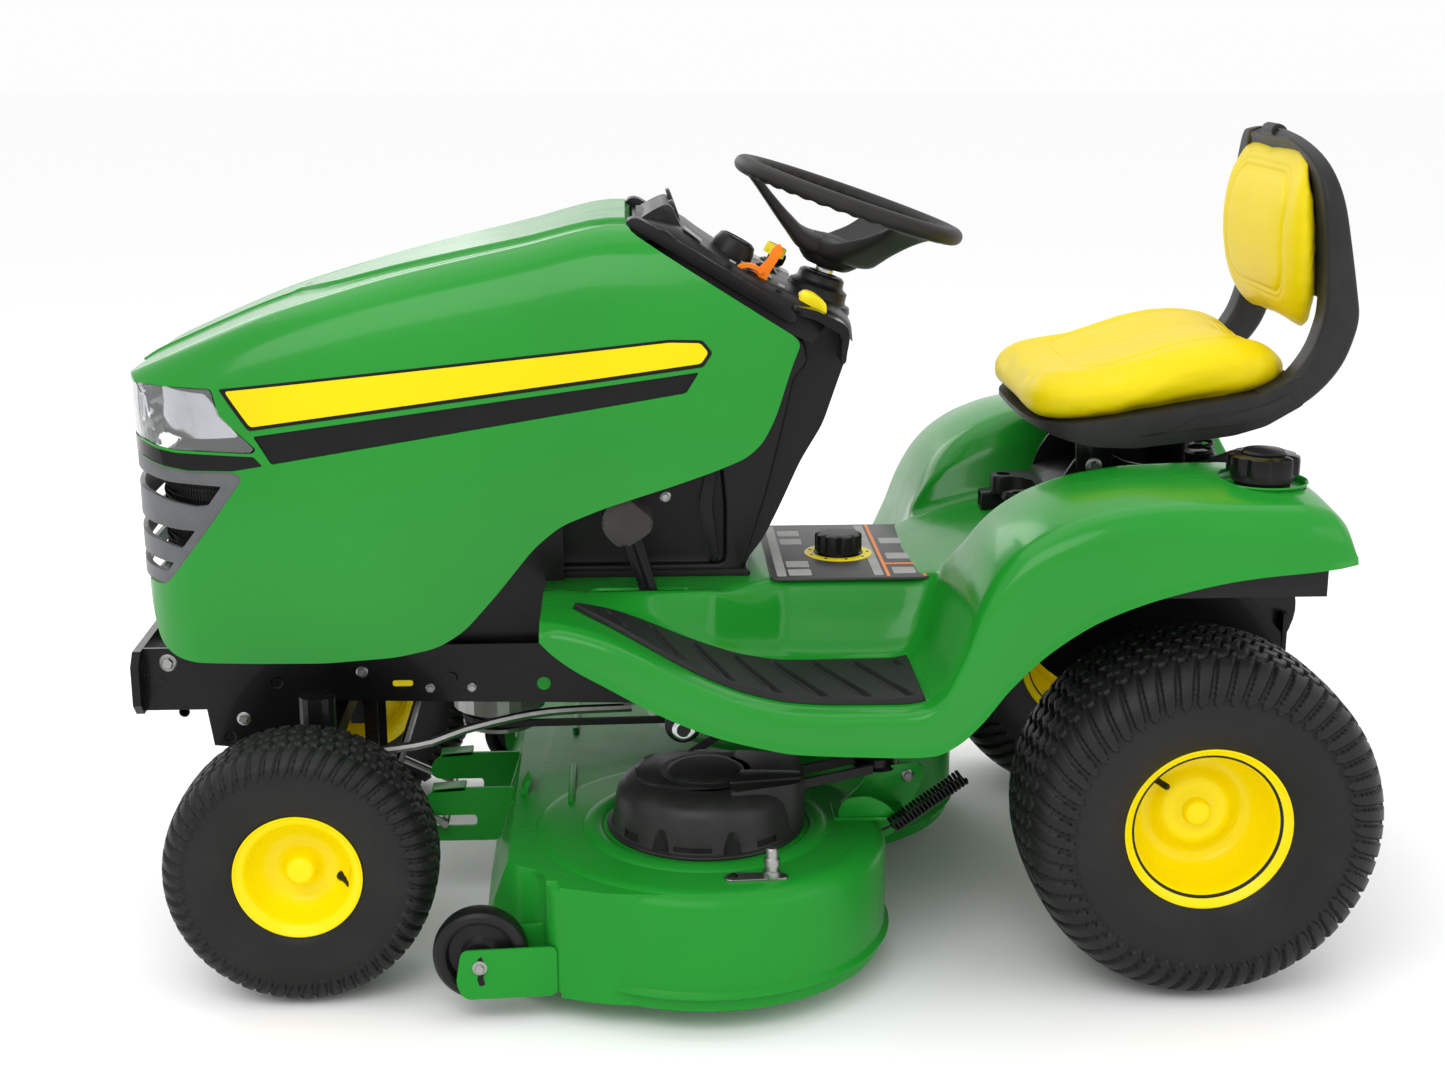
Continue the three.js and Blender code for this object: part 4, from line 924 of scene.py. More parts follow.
# ---------------------------------------------------------------- fender deck and foot mats
FLOOR_Z = curve_through([
    (288, 540), (262, 541), (240, 538), (215, 532), (190, 524), (150, 506), (100, 480), (50, 457), (0, 439),
    (-60, 427), (-120, 424), (-200, 424), (-232, 428), (-256, 448), (-280, 500), (-305, 572), (-330, 618),
    (-365, 655), (-410, 682), (-470, 702), (-560, 714), (-650, 716), (-735, 712), (-775, 700), (-800, 676),
    (-812, 646),
])
LIP_Z = curve_through([
    (288, 520), (270, 505), (240, 485), (200, 464), (150, 437), (100, 413), (50, 394), (0, 380), (-60, 368),
    (-150, 363), (-215, 361), (-245, 363), (-275, 377), (-305, 405), (-345, 456), (-400, 509), (-470, 553),
    (-560, 585), (-660, 606), (-760, 616), (-812, 621),
])
EDGE_Y = curve_through(
    [
        (288, 424), (270, 434), (240, 442), (200, 449), (100, 459), (40, 462), (-740, 462), (-780, 459),
        (-812, 448),
    ]
)
SHOULDER_DROP = curve_through(
    [(300, 0), (-260, 0), (-320, 20), (-400, 26), (-560, 30), (-680, 40), (-750, 34), (-790, 18), (-812, 6)]
)
MIDDLE_Z = curve_through(
    [(300, 530), (-245, 530), (-290, 540), (-350, 560), (-400, 572), (-500, 582), (-812, 612)]
)
MAT_OUTER = curve_through(
    [(244, 330), (225, 352), (190, 378), (150, 396), (100, 408), (40, 417), (-236, 424)]
)
MAT_INNER = curve_through(
    [(244, 322), (200, 312), (150, 297), (100, 282), (40, 268), (-40, 252), (-120, 240), (-236, 238)]
)
FENDER_SKIN = 4
FENDER_STATIONS = [*np.arange(288, 180, -6), *np.arange(180, -220, -10), *np.arange(-220, -440, -5),
                   *np.arange(-440, -740, -10), *np.arange(-740, -812, -4), -812]


def open_rounded(points, radii, steps=5):
    """An open line with its inner corners turned into arcs, always with the same number of points."""
    result = [tuple(points[0])]
    for i in range(1, len(points) - 1):
        before, corner, after = (Vector(points[i + k]) for k in (-1, 0, 1))
        a, b = before - corner, after - corner
        reach = min(radii[i - 1], a.length * 0.49, b.length * 0.49)
        start, end = corner + a.normalized() * reach, corner + b.normalized() * reach
        for k in range(steps + 1):
            t = k / steps
            result.append(tuple(start * (1 - t) ** 2 + corner * 2 * t * (1 - t) + end * t**2))
    result.append(tuple(points[-1]))
    return result


def fender_half(x, pedal_shelf=False):
    """One side of the fender deck's section; the left side carries a raised shelf for the lift pedal."""
    floor, lip, edge, middle = FLOOR_Z(x), LIP_Z(x), EDGE_Y(x), MIDDLE_Z(x)
    drop = SHOULDER_DROP(x)
    rise = max(floor - middle, 0)
    knee = (floor + middle) / 2 + (14 if floor > middle else 0)
    foot, crest_y, back_y, crest = 214, 181, 160, knee
    if pedal_shelf:
        share = min(max((x + 60) / 110, 0), 1)
        foot += (min(MAT_INNER(x), 330) - 8 - foot) * share
        crest_y += (236 - crest_y) * share
        back_y += (214 - back_y) * share
        crest += (max(537, floor) - crest) * share
    corners = [
        (edge, lip), (edge - 3, lip + 10), (edge - 6, floor - drop - 9), (edge - 28, floor - drop * 0.4),
        (332, floor + 3 * min(rise / 60, 1)), (foot, floor), (crest_y, crest), (back_y, middle),
        (60, middle + 1),
        (0, middle + 1.5),
    ]
    return open_rounded(corners, [4, 16, 22, 60, 36, 12, 22, 30])


def fender_skin():
    rows = []
    for x in FENDER_STATIONS:
        half = fender_half(x, pedal_shelf=True)
        other = [(-y, z) for y, z in reversed(fender_half(x)[:-1])]
        rows.append([at(x, y, z) for y, z in half + other])
    skin = grid("fender_skin", rows)
    if skin.polygons[len(skin.polygons) // 2].normal.z < 0:
        skin.flip_normals()
    return with_modifiers(skin, ("SOLIDIFY", {"thickness": FENDER_SKIN * MM, "offset": -1}))


def post(x, y, low, high, radius, sides=64):
    return lathe("post", [(0, low), (radius, low), (radius, high), (0, high)], (0, 0, 1), at(x, y, 0), sides)


def fender():
    skin = fender_skin()
    slots = (
        slab("slot", rounded([(78, 197), (222, 197), (222, 223), (78, 223)], 11), 400, 600, "XY"),
        slab("slot", rounded([(-4, -222), (196, -222), (196, -198), (-4, -198)], 10), 380, 600, "XY"),
        slab("slot", [(-10, -100), (250, -100), (250, 100), (-10, 100)], 480, 600, "XY"),
        post(-712, 325, 600, 760, 60),
    )
    for tool in slots:
        skin = boolean(skin, tool, "DIFFERENCE")
    smooth(piece("fender_skin", skin, GREEN, "chassis", ["fender_deck"]), 35)
    well = lathe(
        "fuel_well",
        [
            (58, 704), (61, 708), (63, 711), (61.5, 713), (58.5, 711), (56.5, 706), (55, 690), (54, 674),
            (57, 674), (58.5, 690),
        ],
        (0, 0, 1), at(-712, 325, 0), 72,
    )
    smooth(piece("fuel_well", well, GREEN, "chassis"), 40)
    base = lathe(
        "fuel_well_base", [(0, 672), (57, 672), (57, 676), (0, 676)], (0, 0, 1), at(-712, 325, 0), 48
    )
    smooth(piece("fuel_well_base", base, BLACK_MOULDING, "chassis"), 40)


def mat_lift(x, across, length):
    """Thickness of the foot mat: a raised border round a field crossed by slanting grooves."""
    border = min(across * length, (1 - across) * length, 244 - x, x + 236)
    edge = min(max(border / 5, 0), 1)
    along_groove = (x + 0.42 * across * length) % 58
    off_groove = abs(along_groove - 29)
    from_outer = (1 - across) * length - 20
    pit = math.exp(-((off_groove**2 + from_outer**2) / 30))
    groove = 1 - min(max((off_groove - 2.6) / 2.2, 0), 1)
    inside = min(max((border - 14) / 6, 0), 1)
    ridge = math.exp(-(((off_groove - 7.5) / 3) ** 2))
    return 7.5 * math.sqrt(
        max(0, 1 - (1 - edge) ** 2)
    ) - 4.6 * max(groove * inside, pit) + 1.4 * ridge * inside


def foot_mat(side, name):
    rows = []
    for x in np.linspace(244, -236, 260):
        inner, outer = MAT_INNER(x), MAT_OUTER(x)
        row = []
        for k in range(61):
            across = k / 60
            y = inner + (outer - inner) * across
            row.append(at(x, side * y, FLOOR_Z(x) + 1.2 + mat_lift(x, across, outer - inner)))
        rows.append(row)
    mesh = grid(name, rows)
    if mesh.polygons[0].normal.z < 0:
        mesh.flip_normals()
    mesh = with_modifiers(mesh, ("SOLIDIFY", {"thickness": 0.0015, "offset": -1}))
    smooth(piece(f"{name}_ribs", mesh, MAT, "chassis", [name]), 50)


fender()
foot_mat(1, "left_foot_mat")
foot_mat(-1, "right_foot_mat")


# ---------------------------------------------------------------- seat cushions
def pillow(name, rings):
    """A closed body through rings of points, ready to be remeshed."""
    return grid(name, rings, around=True, caps=True)


def squircle(half_width, half_height, power, count=48):
    ring = []
    for k in range(count):
        turn = 2 * math.pi * k / count
        c, s = math.cos(turn), math.sin(turn)
        ring.append((
            half_width * math.copysign(abs(c) ** (2 / power), c),
            half_height * math.copysign(abs(s) ** (2 / power), s),
        ))
    return ring


SEAT_TOP = curve_through([
    (-408, 792), (-413, 804), (-424, 815), (-450, 824), (-492, 829), (-546, 838), (-602, 856), (-662, 871),
    (-715, 874), (-762, 866), (-788, 850), (-796, 838),
])
SEAT_LOW = curve_through([
    (-408, 782), (-413, 775), (-424, 769), (-450, 767), (-510, 773), (-590, 783), (-680, 796), (-750, 809),
    (-785, 820),
    (-796, 826),
])
SEAT_WIDE = curve_through([
    (-408, 116), (-413, 146), (-424, 170), (-450, 194), (-486, 207), (-530, 213), (-710, 213), (-756, 201),
    (-784, 176),
    (-796, 142),
])


def seat_cushion_start():
    rings = []
    for x in (-408, -410, -415, -424, -438, -460, -492, -532, -577, -622, -667, -712, -744, -768, -786, -796):
        top, low, wide = SEAT_TOP(x), SEAT_LOW(x), SEAT_WIDE(x)
        ring = []
        for y, z in squircle(wide, (top - low) / 2, 4.2):
            bolster = 5 * math.exp(-(((abs(y) - wide * 0.8) / 34) ** 2)) - 7 * math.exp(-((y / 95) ** 2))
            ring.append(at(x, y, (top + low) / 2 + z + (bolster if z > 0 else 0)))
        rings.append(ring)
    return pillow("seat_cushion_start", rings)


BACK_FRONT = curve_through([
    (888, -824), (896, -815), (914, -802), (942, -791), (980, -783), (1020, -779), (1060, -782), (1096, -789),
    (1126, -798), (1144, -805), (1153, -811),
])
BACK_REAR = curve_through([
    (888, -830), (896, -832), (914, -831), (980, -823), (1040, -815), (1096, -809), (1126, -808),
    (1144, -811), (1153, -816),
])
BACK_WIDE = curve_through([
    (888, 122), (896, 144), (914, 165), (942, 182), (980, 193), (1020, 199), (1060, 197), (1096, 187),
    (1126, 168),
    (1144, 142), (1153, 108),
])


def back_cushion_start():
    rings = []
    for z in (888, 892, 900, 914, 936, 966, 1000, 1034, 1068, 1096, 1118, 1134, 1144, 1150, 1153):
        front, rear, wide = BACK_FRONT(z), BACK_REAR(z), BACK_WIDE(z)
        ring = [
            at((front + rear) / 2 + depth, y, z)
            for y, depth in squircle(wide, max((front - rear) / 2, 5), 3.6)
        ]
        rings.append(ring)
    return pillow("back_cushion_start", rings)


def inflated(mesh, voxel, pressure, cap):
    """The stuffed skin after the cloth has swollen, no vertex further than the cap from its start."""
    skin = with_modifiers(mesh, ("REMESH", {"mode": "VOXEL", "voxel_size": voxel * MM}))
    start = np.array([v.co[:] for v in skin.vertices])
    holder = bpy.data.objects.new("stuffing", skin)
    bpy.context.scene.collection.objects.link(holder)
    cloth = holder.modifiers.new("cloth", "CLOTH")
    cloth.settings.quality = 5
    cloth.settings.mass = 0.3
    cloth.settings.tension_stiffness = cloth.settings.compression_stiffness = 30
    cloth.settings.shear_stiffness = 20
    cloth.settings.bending_stiffness = 2
    cloth.settings.use_pressure = True
    cloth.settings.uniform_pressure_force = pressure
    cloth.settings.effector_weights.gravity = 0
    cloth.point_cache.frame_start = 1
    cloth.point_cache.frame_end = 20
    scene = bpy.context.scene
    for step in range(1, 21):
        scene.frame_set(step)
    graph = bpy.context.evaluated_depsgraph_get()
    swollen = bpy.data.meshes.new_from_object(holder.evaluated_get(graph))
    scene.frame_set(1)
    bpy.data.objects.remove(holder)
    places = np.array([v.co[:] for v in swollen.vertices])
    shift = places - start
    length = np.linalg.norm(shift, axis=1, keepdims=True)
    shift *= np.minimum(1, cap * MM / np.maximum(length, 1e-9))
    swollen.vertices.foreach_set("co", (start + shift).ravel())
    swollen.update()
    return with_modifiers(swollen, ("SMOOTH", {"factor": 0.5, "iterations": 12}), ("SUBSURF", {"levels": 1}))


def off_frame(u, v, half_u, half_v, corner):
    """Distance from a rounded rectangle's line, negative inside."""
    du, dv = abs(u) - half_u + corner, abs(v) - half_v + corner
    return math.hypot(max(du, 0), max(dv, 0)) + min(max(du, dv), 0) - corner


def embossed(mesh, faces_out, frame_of, depth, width, puff):
    """Presses a stitched line into the side that faces out, and lets the panel inside it rise."""
    normals = [v.normal.copy() for v in mesh.vertices]
    for vertex, normal in zip(mesh.vertices, normals):
        facing = normal.dot(faces_out)
        if facing < 0.35:
            continue
        off = frame_of(vertex.co)
        press = depth * math.exp(-((off / width) ** 2)) + 0.45 * depth * math.exp(-(((off - 9) / width) ** 2))
        rise = puff * (1 - math.exp(-max(-off, 0) / 22))
        vertex.co += normal * ((rise - press) * min(1, (facing - 0.35) * 3) * MM)
    mesh.update()
    return mesh


def seat_cushions():
    base = inflated(seat_cushion_start(), 5, 4, 7)

    def seat_frame(place):
        return off_frame((place.x / MM) + 618, (place.y - CENTRE_PLANE) / MM, 120, 138, 46)

    base = embossed(base, Vector((0, 0, 1)), seat_frame, 3.0, 3.4, 3.5)
    cushion = piece("seat_pad", base, VINYL, "seat", ["seat_cushion"])
    smooth(cushion, 180)
    back = inflated(back_cushion_start(), 5, 4, 6)

    def back_frame(place):
        return off_frame((place.z / MM) - 1026, (place.y - CENTRE_PLANE) / MM, 86, 134, 50)

    back = embossed(back, Vector((1, 0, 0)), back_frame, 2.6, 3.4, 3)
    rest = piece("back_pad", back, VINYL, "seat", ["back_cushion"])
    smooth(rest, 180)


seat_cushions()


# ---------------------------------------------------------------- seat shell and base
PAN_SIDE = [
    (-402, 768), (-408, 760), (-426, 753), (-452, 745), (-500, 736), (-560, 735), (-640, 744), (-700, 752),
    (-745, 765), (-800, 797), (-790, 836), (-776, 832), (-745, 812), (-650, 796), (-550, 780), (-450, 764),
    (-424, 762),
    (-408, 766),
]
PAN_PLAN = [(-413, 0), (-417, 104), (-438, 166), (-468, 208), (-520, 223), (-820, 223), (-820, 0)]
ARM_OUTER = [
    (-735, 760), (-790, 788), (-826, 816), (-852, 850), (-866, 886), (-872, 920), (-866, 960), (-854, 1020),
    (-843, 1070), (-833, 1108), (-823, 1138), (-810, 1162), (-797, 1176),
]
ARM_INNER = [
    (-735, 812), (-772, 830), (-790, 848), (-806, 874), (-815, 900), (-820, 925), (-820, 960), (-815, 1020),
    (-809, 1070), (-805, 1108), (-801, 1132), (-794, 1150), (-786, 1163),
]
BACK_SIDE = [
    (-838, 948), (-832, 1040), (-826, 1100), (-820, 1140), (-810, 1164), (-796, 1170), (-792, 1160),
    (-803, 1142),
    (-809, 1100), (-815, 1040), (-823, 948),
]
PAN_RELIEF = [
    (-560, 752), (-600, 757), (-622, 764), (-632, 775), (-650, 781), (-700, 785), (-738, 794),
    (-775, 812), (-781, 800), (-740, 777), (-700, 768), (-640, 763),
]


def seat_arm(low, high):
    """One side arm: a rounded section swept between the outer and inner lines."""
    rows = []
    outer_line, inner_line = catmull(ARM_OUTER, 4), catmull(ARM_INNER, 4)
    middle_y = (low + high) / 2
    for outer, inner in zip(outer_line, inner_line):
        middle = (Vector(outer) + Vector(inner)) / 2
        half = (Vector(outer) - Vector(inner)) / 2
        row = []
        for across, depth in squircle((high - low) / 2, 1, 5, 28):
            spot = middle + half * depth
            row.append(at(spot.x, middle_y + across, spot.y))
        rows.append(row)
    return arched(grid("seat_arm", rows, around=True, caps=True))


def arched(mesh):
    """Draws the upper part in towards the middle, so that the back ends in an arch."""
    for vertex in mesh.vertices:
        rise = min(max((vertex.co.z / MM - 1050) / 124, 0), 1)
        share = (1 - rise**2.6) ** 0.42
        across = vertex.co.y - CENTRE_PLANE
        vertex.co.y = CENTRE_PLANE + across * share - math.copysign(16 * MM * (1 - share), across)
    return mesh


def seat_shell():
    pan = slab("pan", rounded(PAN_SIDE, 8), -230, 230)
    plan = rounded(PAN_PLAN + [(x, -y) for x, y in reversed(PAN_PLAN[1:-1])], 30, 8)
    pan = boolean(pan, slab("plan", plan, 700, 900, "XY"), "INTERSECT")
    pan = with_modifiers(
        pan, ("BEVEL", {"width": 0.004, "segments": 3, "limit_method": "ANGLE", "angle_limit": 0.7})
    )
    smooth(piece("seat_tray", pan, SEAT_MOULDING, "seat", ["seat_pan"]), 50)
    for name, low, high in (("left", 168, 222), ("right", -222, -168)):
        arm = seat_arm(low, high)
        smooth(piece(f"{name}_seat_arm", arm, SEAT_MOULDING, "seat"), 50)
    for name, low, high in (("left", 221, 224.5), ("right", -224.5, -221)):
        relief = slab("relief", rounded(PAN_RELIEF, 8), low, high, bevel=1.2, segments=2)
        smooth(piece(f"{name}_seat_relief", relief, SEAT_MOULDING, "seat"), 50)
    shell = arched(slab("shell", catmull(BACK_SIDE + BACK_SIDE[:1], 5)[:-1], -198, 198))
    smooth(piece("seat_back_shell", shell, SEAT_MOULDING, "seat"), 50)
    crown = slab(
        "crown",
        rounded([(-814, 1158), (-788, 1161), (-786, 1172), (-796, 1180), (-809, 1174)], 5),
        -26,
        26,
        bevel=5,
        segments=4,
    )
    smooth(piece("seat_crown", crown, SEAT_MOULDING, "seat"), 50)
    for k, y in enumerate((-110, -40, 40, 110)):
        rib_line = rounded([
            (-834, 965), (-846, 975), (-841, 1050), (-834, 1106), (-826, 1138), (-814, 1146), (-822, 960),
        ], 5)
        rib = slab("rib", rib_line, y - 4, y + 4, bevel=1.5, segments=2)
        smooth(piece(f"seat_rib_{k}", rib, SEAT_MOULDING, "seat"), 50)
    for name, low, high in (("left", 106, 113), ("right", -113, -106)):
        lug = slab(
            "lug",
            rounded([(-549, 674), (-536, 664), (-514, 664), (-500, 676), (-496, 742), (-560, 748)], 10),
            low,
            high,
            bevel=1.5,
        )
        smooth(piece(f"{name}_seat_lug", lug, BLACK_STEEL, "seat"), 50)
        sign = 1 if low > 0 else -1
        bolt = hex_bolt(f"{name}_seat_bolt", at(-525, sign * 113, 685), (0, sign, 0), 8.5, 7)
        smooth(piece(f"{name}_seat_bolt", bolt, ZINC, "seat"), 30)


def hex_bolt(name, place, axis, radius, height, washer=1.45):
    """A flanged bolt head standing on the place, pointing along the axis."""
    axis = Vector(axis).normalized()
    flange = lathe(
        name,
        [(0, -1), (radius * washer, -1), (radius * washer, 0.8), (radius * 1.15, 2), (0, 2)],
        axis,
        place,
        32,
    )
    head = lathe(
        name,
        [
            (0, 1), (radius * 0.96, 1), (radius, 1.8), (radius, height - 1.2), (radius * 0.86, height),
            (0, height),
        ],
        axis,
        place,
        6,
    )
    return merged(name, flange, head)


def square_tube(name, low, high, y, width, height, wall):
    """An open-ended square tube that follows the seat platform's slope."""
    def ring(x, inset):
        z = MIDDLE_Z(x) + 3
        half = width / 2 - inset
        return [
            at(x, y - half, z + inset),
            at(x, y + half, z + inset),
            at(x, y + half, z + height - inset),
            at(x, y - half, z + height - inset),
        ]

    rows = [ring(high, 0), ring(low, 0), ring(low, wall), ring(high, wall)]
    mesh = grid(name, rows, around=True, along=True)
    return with_modifiers(mesh, ("BEVEL", {"width": 0.0025, "segments": 2}))


def coil(name, start, end, radius, wire, turns):
    axis = end - start
    side = axis.orthogonal().normalized()
    other = axis.normalized().cross(side)
    points = []
    steps = int(turns * 14)
    for k in range(steps + 1):
        turn = 2 * math.pi * k / 14
        reach = side * math.cos(turn) + other * math.sin(turn)
        points.append(start + axis * (k / steps) + reach * radius * MM)
    return tube(name, points, wire, resolution=1, smooth=False)


def seat_base():
    for name, y in (("left", 92), ("right", -92)):
        rail = square_tube(f"{name}_seat_track", -745, -392, y, 34, 27, 3)
        stands = ["seat_rail"] if y > 0 else []
        smooth(piece(f"{name}_seat_track", rail, BLACK_STEEL, "chassis", stands), 40)
    plate = slab(
        "plate", rounded([(-470, -98), (-745, -98), (-745, 98), (-470, 98)], 12), 618, 622, "XY", bevel=1
    )
    smooth(piece("seat_slide_plate", plate, BLACK_STEEL, "slide", ["seat_slide"]), 40)
    for name, low, high in (("left", 93, 99), ("right", -99, -93)):
        cheek_line = [
            (-468, 618), (-482, 664), (-505, 700), (-545, 704), (-575, 688), (-640, 676), (-700, 690),
            (-745, 706), (-747, 618),
        ]
        cheek = slab("cheek", rounded(cheek_line, 14), low, high, bevel=1.5)
        smooth(piece(f"{name}_seat_cheek", cheek, BLACK_STEEL, "slide"), 40)
    front = slab(
        "front",
        rounded([(-470, 622), (-470, 640), (-540, 672), (-548, 668), (-480, 630), (-478, 620)], 6),
        -92,
        92,
        bevel=1.5,
    )
    smooth(piece("seat_slide_front", front, BLACK_STEEL, "slide"), 40)
    for name, y in (("left", 58), ("right", -58)):
        spring = coil("spring", at(-700, y, 692), at(-700, y, 748), 17, 3.4, 5)
        smooth(piece(f"{name}_seat_spring", spring, BLACK_STEEL, "slide"), 60)
        seat_cup = lathe(
            "cup",
            [(0, 622), (22, 622), (22, 688), (24, 690), (24, 693), (0, 693)],
            (0, 0, 1),
            at(-700, y, 0),
            40,
        )
        smooth(piece(f"{name}_spring_seat", seat_cup, BLACK_STEEL, "slide"), 40)
    seat_stop()
    seat_lever()


def seat_stop():
    """The C-shaped stop bracket ahead of the slide, with a hole through each horn."""
    outline = rounded([
        (-404, 46), (-404, 84), (-436, 90), (-478, 88), (-500, 60), (-506, 0), (-500, -60), (-478, -88),
        (-436, -90), (-404, -84), (-404, -46), (-440, -44), (-458, -30), (-462, 0), (-458, 30), (-440, 44),
    ], 14)
    block = slab("stop", outline, 604, 634, "XY", bevel=4)
    for y in (-66, 66):
        block = boolean(block, post(-424, y, 590, 650, 11, 32), "DIFFERENCE")
    smooth(piece("seat_stop", block, BLACK_MOULDING, "slide"), 40)


def seat_lever():
    rod = tube(
        "lever",
        [
            at(-478, 104, 628), at(-452, 112, 618), at(-432, 124, 614), at(-414, 134, 624),
            at(-402, 141, 640),
        ],
        3.6,
    )
    smooth(piece("seat_lever_rod", rod, CHROME, "slide_catch", ["seat_lever"]), 60)
    grip = tube("grip", [at(-404, 140, 636), at(-398, 143, 645), at(-386, 147, 650)], 6.2)
    smooth(piece("seat_lever_grip", grip, BLACK_MOULDING, "slide_catch"), 60)


seat_shell()
seat_base()


# ---------------------------------------------------------------- steering wheel
STEER_AXIS = Vector((math.sin(math.radians(-18.85)), 0, math.cos(math.radians(-18.85))))
STEER_FORWARD = Vector((STEER_AXIS.z, 0, -STEER_AXIS.x))
STEER_CENTRE = at(-165.5, 0, 1068.5)
RIM_RADIUS = 164


def on_wheel(reach, turn, height):
    """A place on the steering wheel, by its distance from the axis, its angle and its height."""
    across = STEER_FORWARD * math.cos(turn) + Vector((0, 1, 0)) * math.sin(turn)
    return STEER_CENTRE + (across * reach + STEER_AXIS * height) * MM


def wheel_rim():
    rows = []
    count = 430
    for i in range(count):
        turn = 2 * math.pi * i / count
        off_spoke = min(
            abs((turn - math.radians(s) + math.pi) % (2 * math.pi) - math.pi) for s in (0, 125, 235)
        )
        grip = min(max((off_spoke - 0.30) / 0.12, 0), 1)
        wave = 0.5 - 0.5 * math.cos(turn * 41)
        row = []
        for k in range(26):
            phi = 2 * math.pi * k / 26
            under = max(0, -math.sin(phi + 0.5)) ** 0.7
            radius = 13.6 + 0.9 * math.cos(2 * phi) - 2.4 * wave * grip * under
            row.append(on_wheel(RIM_RADIUS + radius * math.cos(phi), turn, radius * math.sin(phi)))
        rows.append(row)
    return grid("wheel_rim", rows, around=True, along=True)


SPOKE_HEIGHT = curve_through(
    [(20, -74), (36, -75), (50, -73), (70, -62), (95, -46), (120, -29), (140, -15), (155, -6), (164, -3)]
)
SPOKE_WIDTH = curve_through(
    [(20, 50), (36, 50), (50, 48), (70, 42), (95, 35), (120, 33), (140, 36), (155, 42), (164, 46)]
)
SPOKE_DEPTH = curve_through([(20, 17), (50, 16), (80, 13), (120, 10), (164, 8)])


def spoke(heading):
    rows = []
    turn = math.radians(heading)
    out = STEER_FORWARD * math.cos(turn) + Vector((0, 1, 0)) * math.sin(turn)
    side = STEER_AXIS.cross(out)
    for reach in np.linspace(22, 163, 26):
        row = []
        for across, height in squircle(SPOKE_WIDTH(reach), SPOKE_DEPTH(reach), 3.4, 32):
            dish = 2.6 * (1 - (across / SPOKE_WIDTH(reach)) ** 2) if height > 0 else 0
            place = out * reach + side * across + STEER_AXIS * (SPOKE_HEIGHT(reach) + height - dish)
            row.append(STEER_CENTRE + place * MM)
        rows.append(row)
    return grid("spoke", rows, around=True, caps=True)


def steering_wheel():
    smooth(piece("wheel_rim", wheel_rim(), WHEEL_PAD, "steering", ["steering_wheel"]), 60)
    for k, heading in enumerate((0, 125, 235)):
        smooth(piece(f"wheel_spoke_{k}", spoke(heading), WHEEL_PAD, "steering"), 50)
    cup = lathe(
        "hub",
        [
            (0, -57), (20, -57.5), (34, -60), (42, -65), (50, -70), (54, -76), (52, -84), (44, -94),
            (36, -101), (30, -104), (0, -104),
        ],
        STEER_AXIS, STEER_CENTRE, 72,
    )
    smooth(piece("wheel_hub", cup, WHEEL_PAD, "steering"), 40)
    ring = lathe("ring", [(31, -63), (33, -60.2), (35.5, -60.6), (36, -63)], STEER_AXIS, STEER_CENTRE, 72)
    smooth(piece("wheel_cap_ring", ring, GLOSS_BLACK, "steering"), 60)
    collar = lathe(
        "collar",
        [(0, -104), (14, -104), (15, -106), (15, -112), (12, -114), (0, -114)],
        STEER_AXIS,
        STEER_CENTRE,
        48,
    )
    smooth(piece("wheel_collar", collar, CHROME, "steering"), 40)


steering_wheel()


# ---------------------------------------------------------------- dash console and tower
WING_SIDE = [
    (-70, 909), (166, 1052), (162, 1058), (150, 1061), (118, 1043), (60, 1008), (0, 971), (-62, 934),
    (-74, 926), (-78, 912),
]
CROWN_TOP = curve_through(
    [
        (150, 1056), (128, 1054), (92, 1046), (60, 1024), (20, 998), (-20, 977), (-60, 958), (-90, 943),
        (-120, 930), (-140, 920), (-160, 903), (-172, 884),
    ]
)
CROWN_WIDE = curve_through(
    [(150, 120), (120, 140), (60, 150), (-60, 150), (-120, 142), (-150, 128), (-165, 112), (-172, 96)]
)
POD_SIDE = [
    (156, 1036), (148, 1050), (124, 1064), (108, 1071), (99, 1068), (94, 1057), (86, 1040), (74, 1016),
    (120, 1014),
]


def console_crown():
    rows = []
    for x in (
        150, 140, 128, 110, 92, 75, 60, 40, 20, 0, -20, -40, -60, -80, -100, -120, -135, -148, -156, -161
    ):
        top, wide = CROWN_TOP(x), CROWN_WIDE(x)
        depth = 60 if x > -120 else 26
        half = open_rounded(
            [(wide + 8, top - depth), (wide + 4, top - 20), (wide - 14, top - 5), (60, top), (0, top + 1)],
            [10, 14, 40],
            5,
        )
        full = half + [(-y, z) for y, z in reversed(half[:-1])]
        rows.append([at(x, y, z) for y, z in full])
    return grid("console_crown", rows, around=True, caps=True)


def pod():
    """The cowl over the instruments: narrower at the top, with its face leaning to the driver."""
    shape = slab("pod", rounded(POD_SIDE, 7), -100, 100, bevel=10, segments=4)
    for vertex in shape.vertices:
        lift = max(0, vertex.co.z / MM - 1046) / 30
        vertex.co.y = CENTRE_PLANE + (vertex.co.y - CENTRE_PLANE) * (1 - 0.16 * lift)
    return shape


def on_console(x, y, lift=0.0):
    slope = (CROWN_TOP(x + 4) - CROWN_TOP(x - 4)) / 8
    normal = Vector((-slope, 0, 1)).normalized()
    return at(x, y, CROWN_TOP(x)) + normal * lift * MM, normal


def console_patch(name, outline, material, lift=0.7):
    """A thin film or inlay that follows the console's top, from an outline in X and Y."""
    bm = bmesh.new()
    low = [bm.verts.new(on_console(x, y, -1)[0]) for x, y in outline]
    high = [bm.verts.new(on_console(x, y, lift)[0]) for x, y in outline]
    bm.faces.new(high)
    bm.faces.new(list(reversed(low)))
    for i in range(len(outline)):
        j = (i + 1) % len(outline)
        bm.faces.new((low[i], low[j], high[j], high[i]))
    smooth(piece(name, mesh_from(bm, name), material, "chassis"), 30)


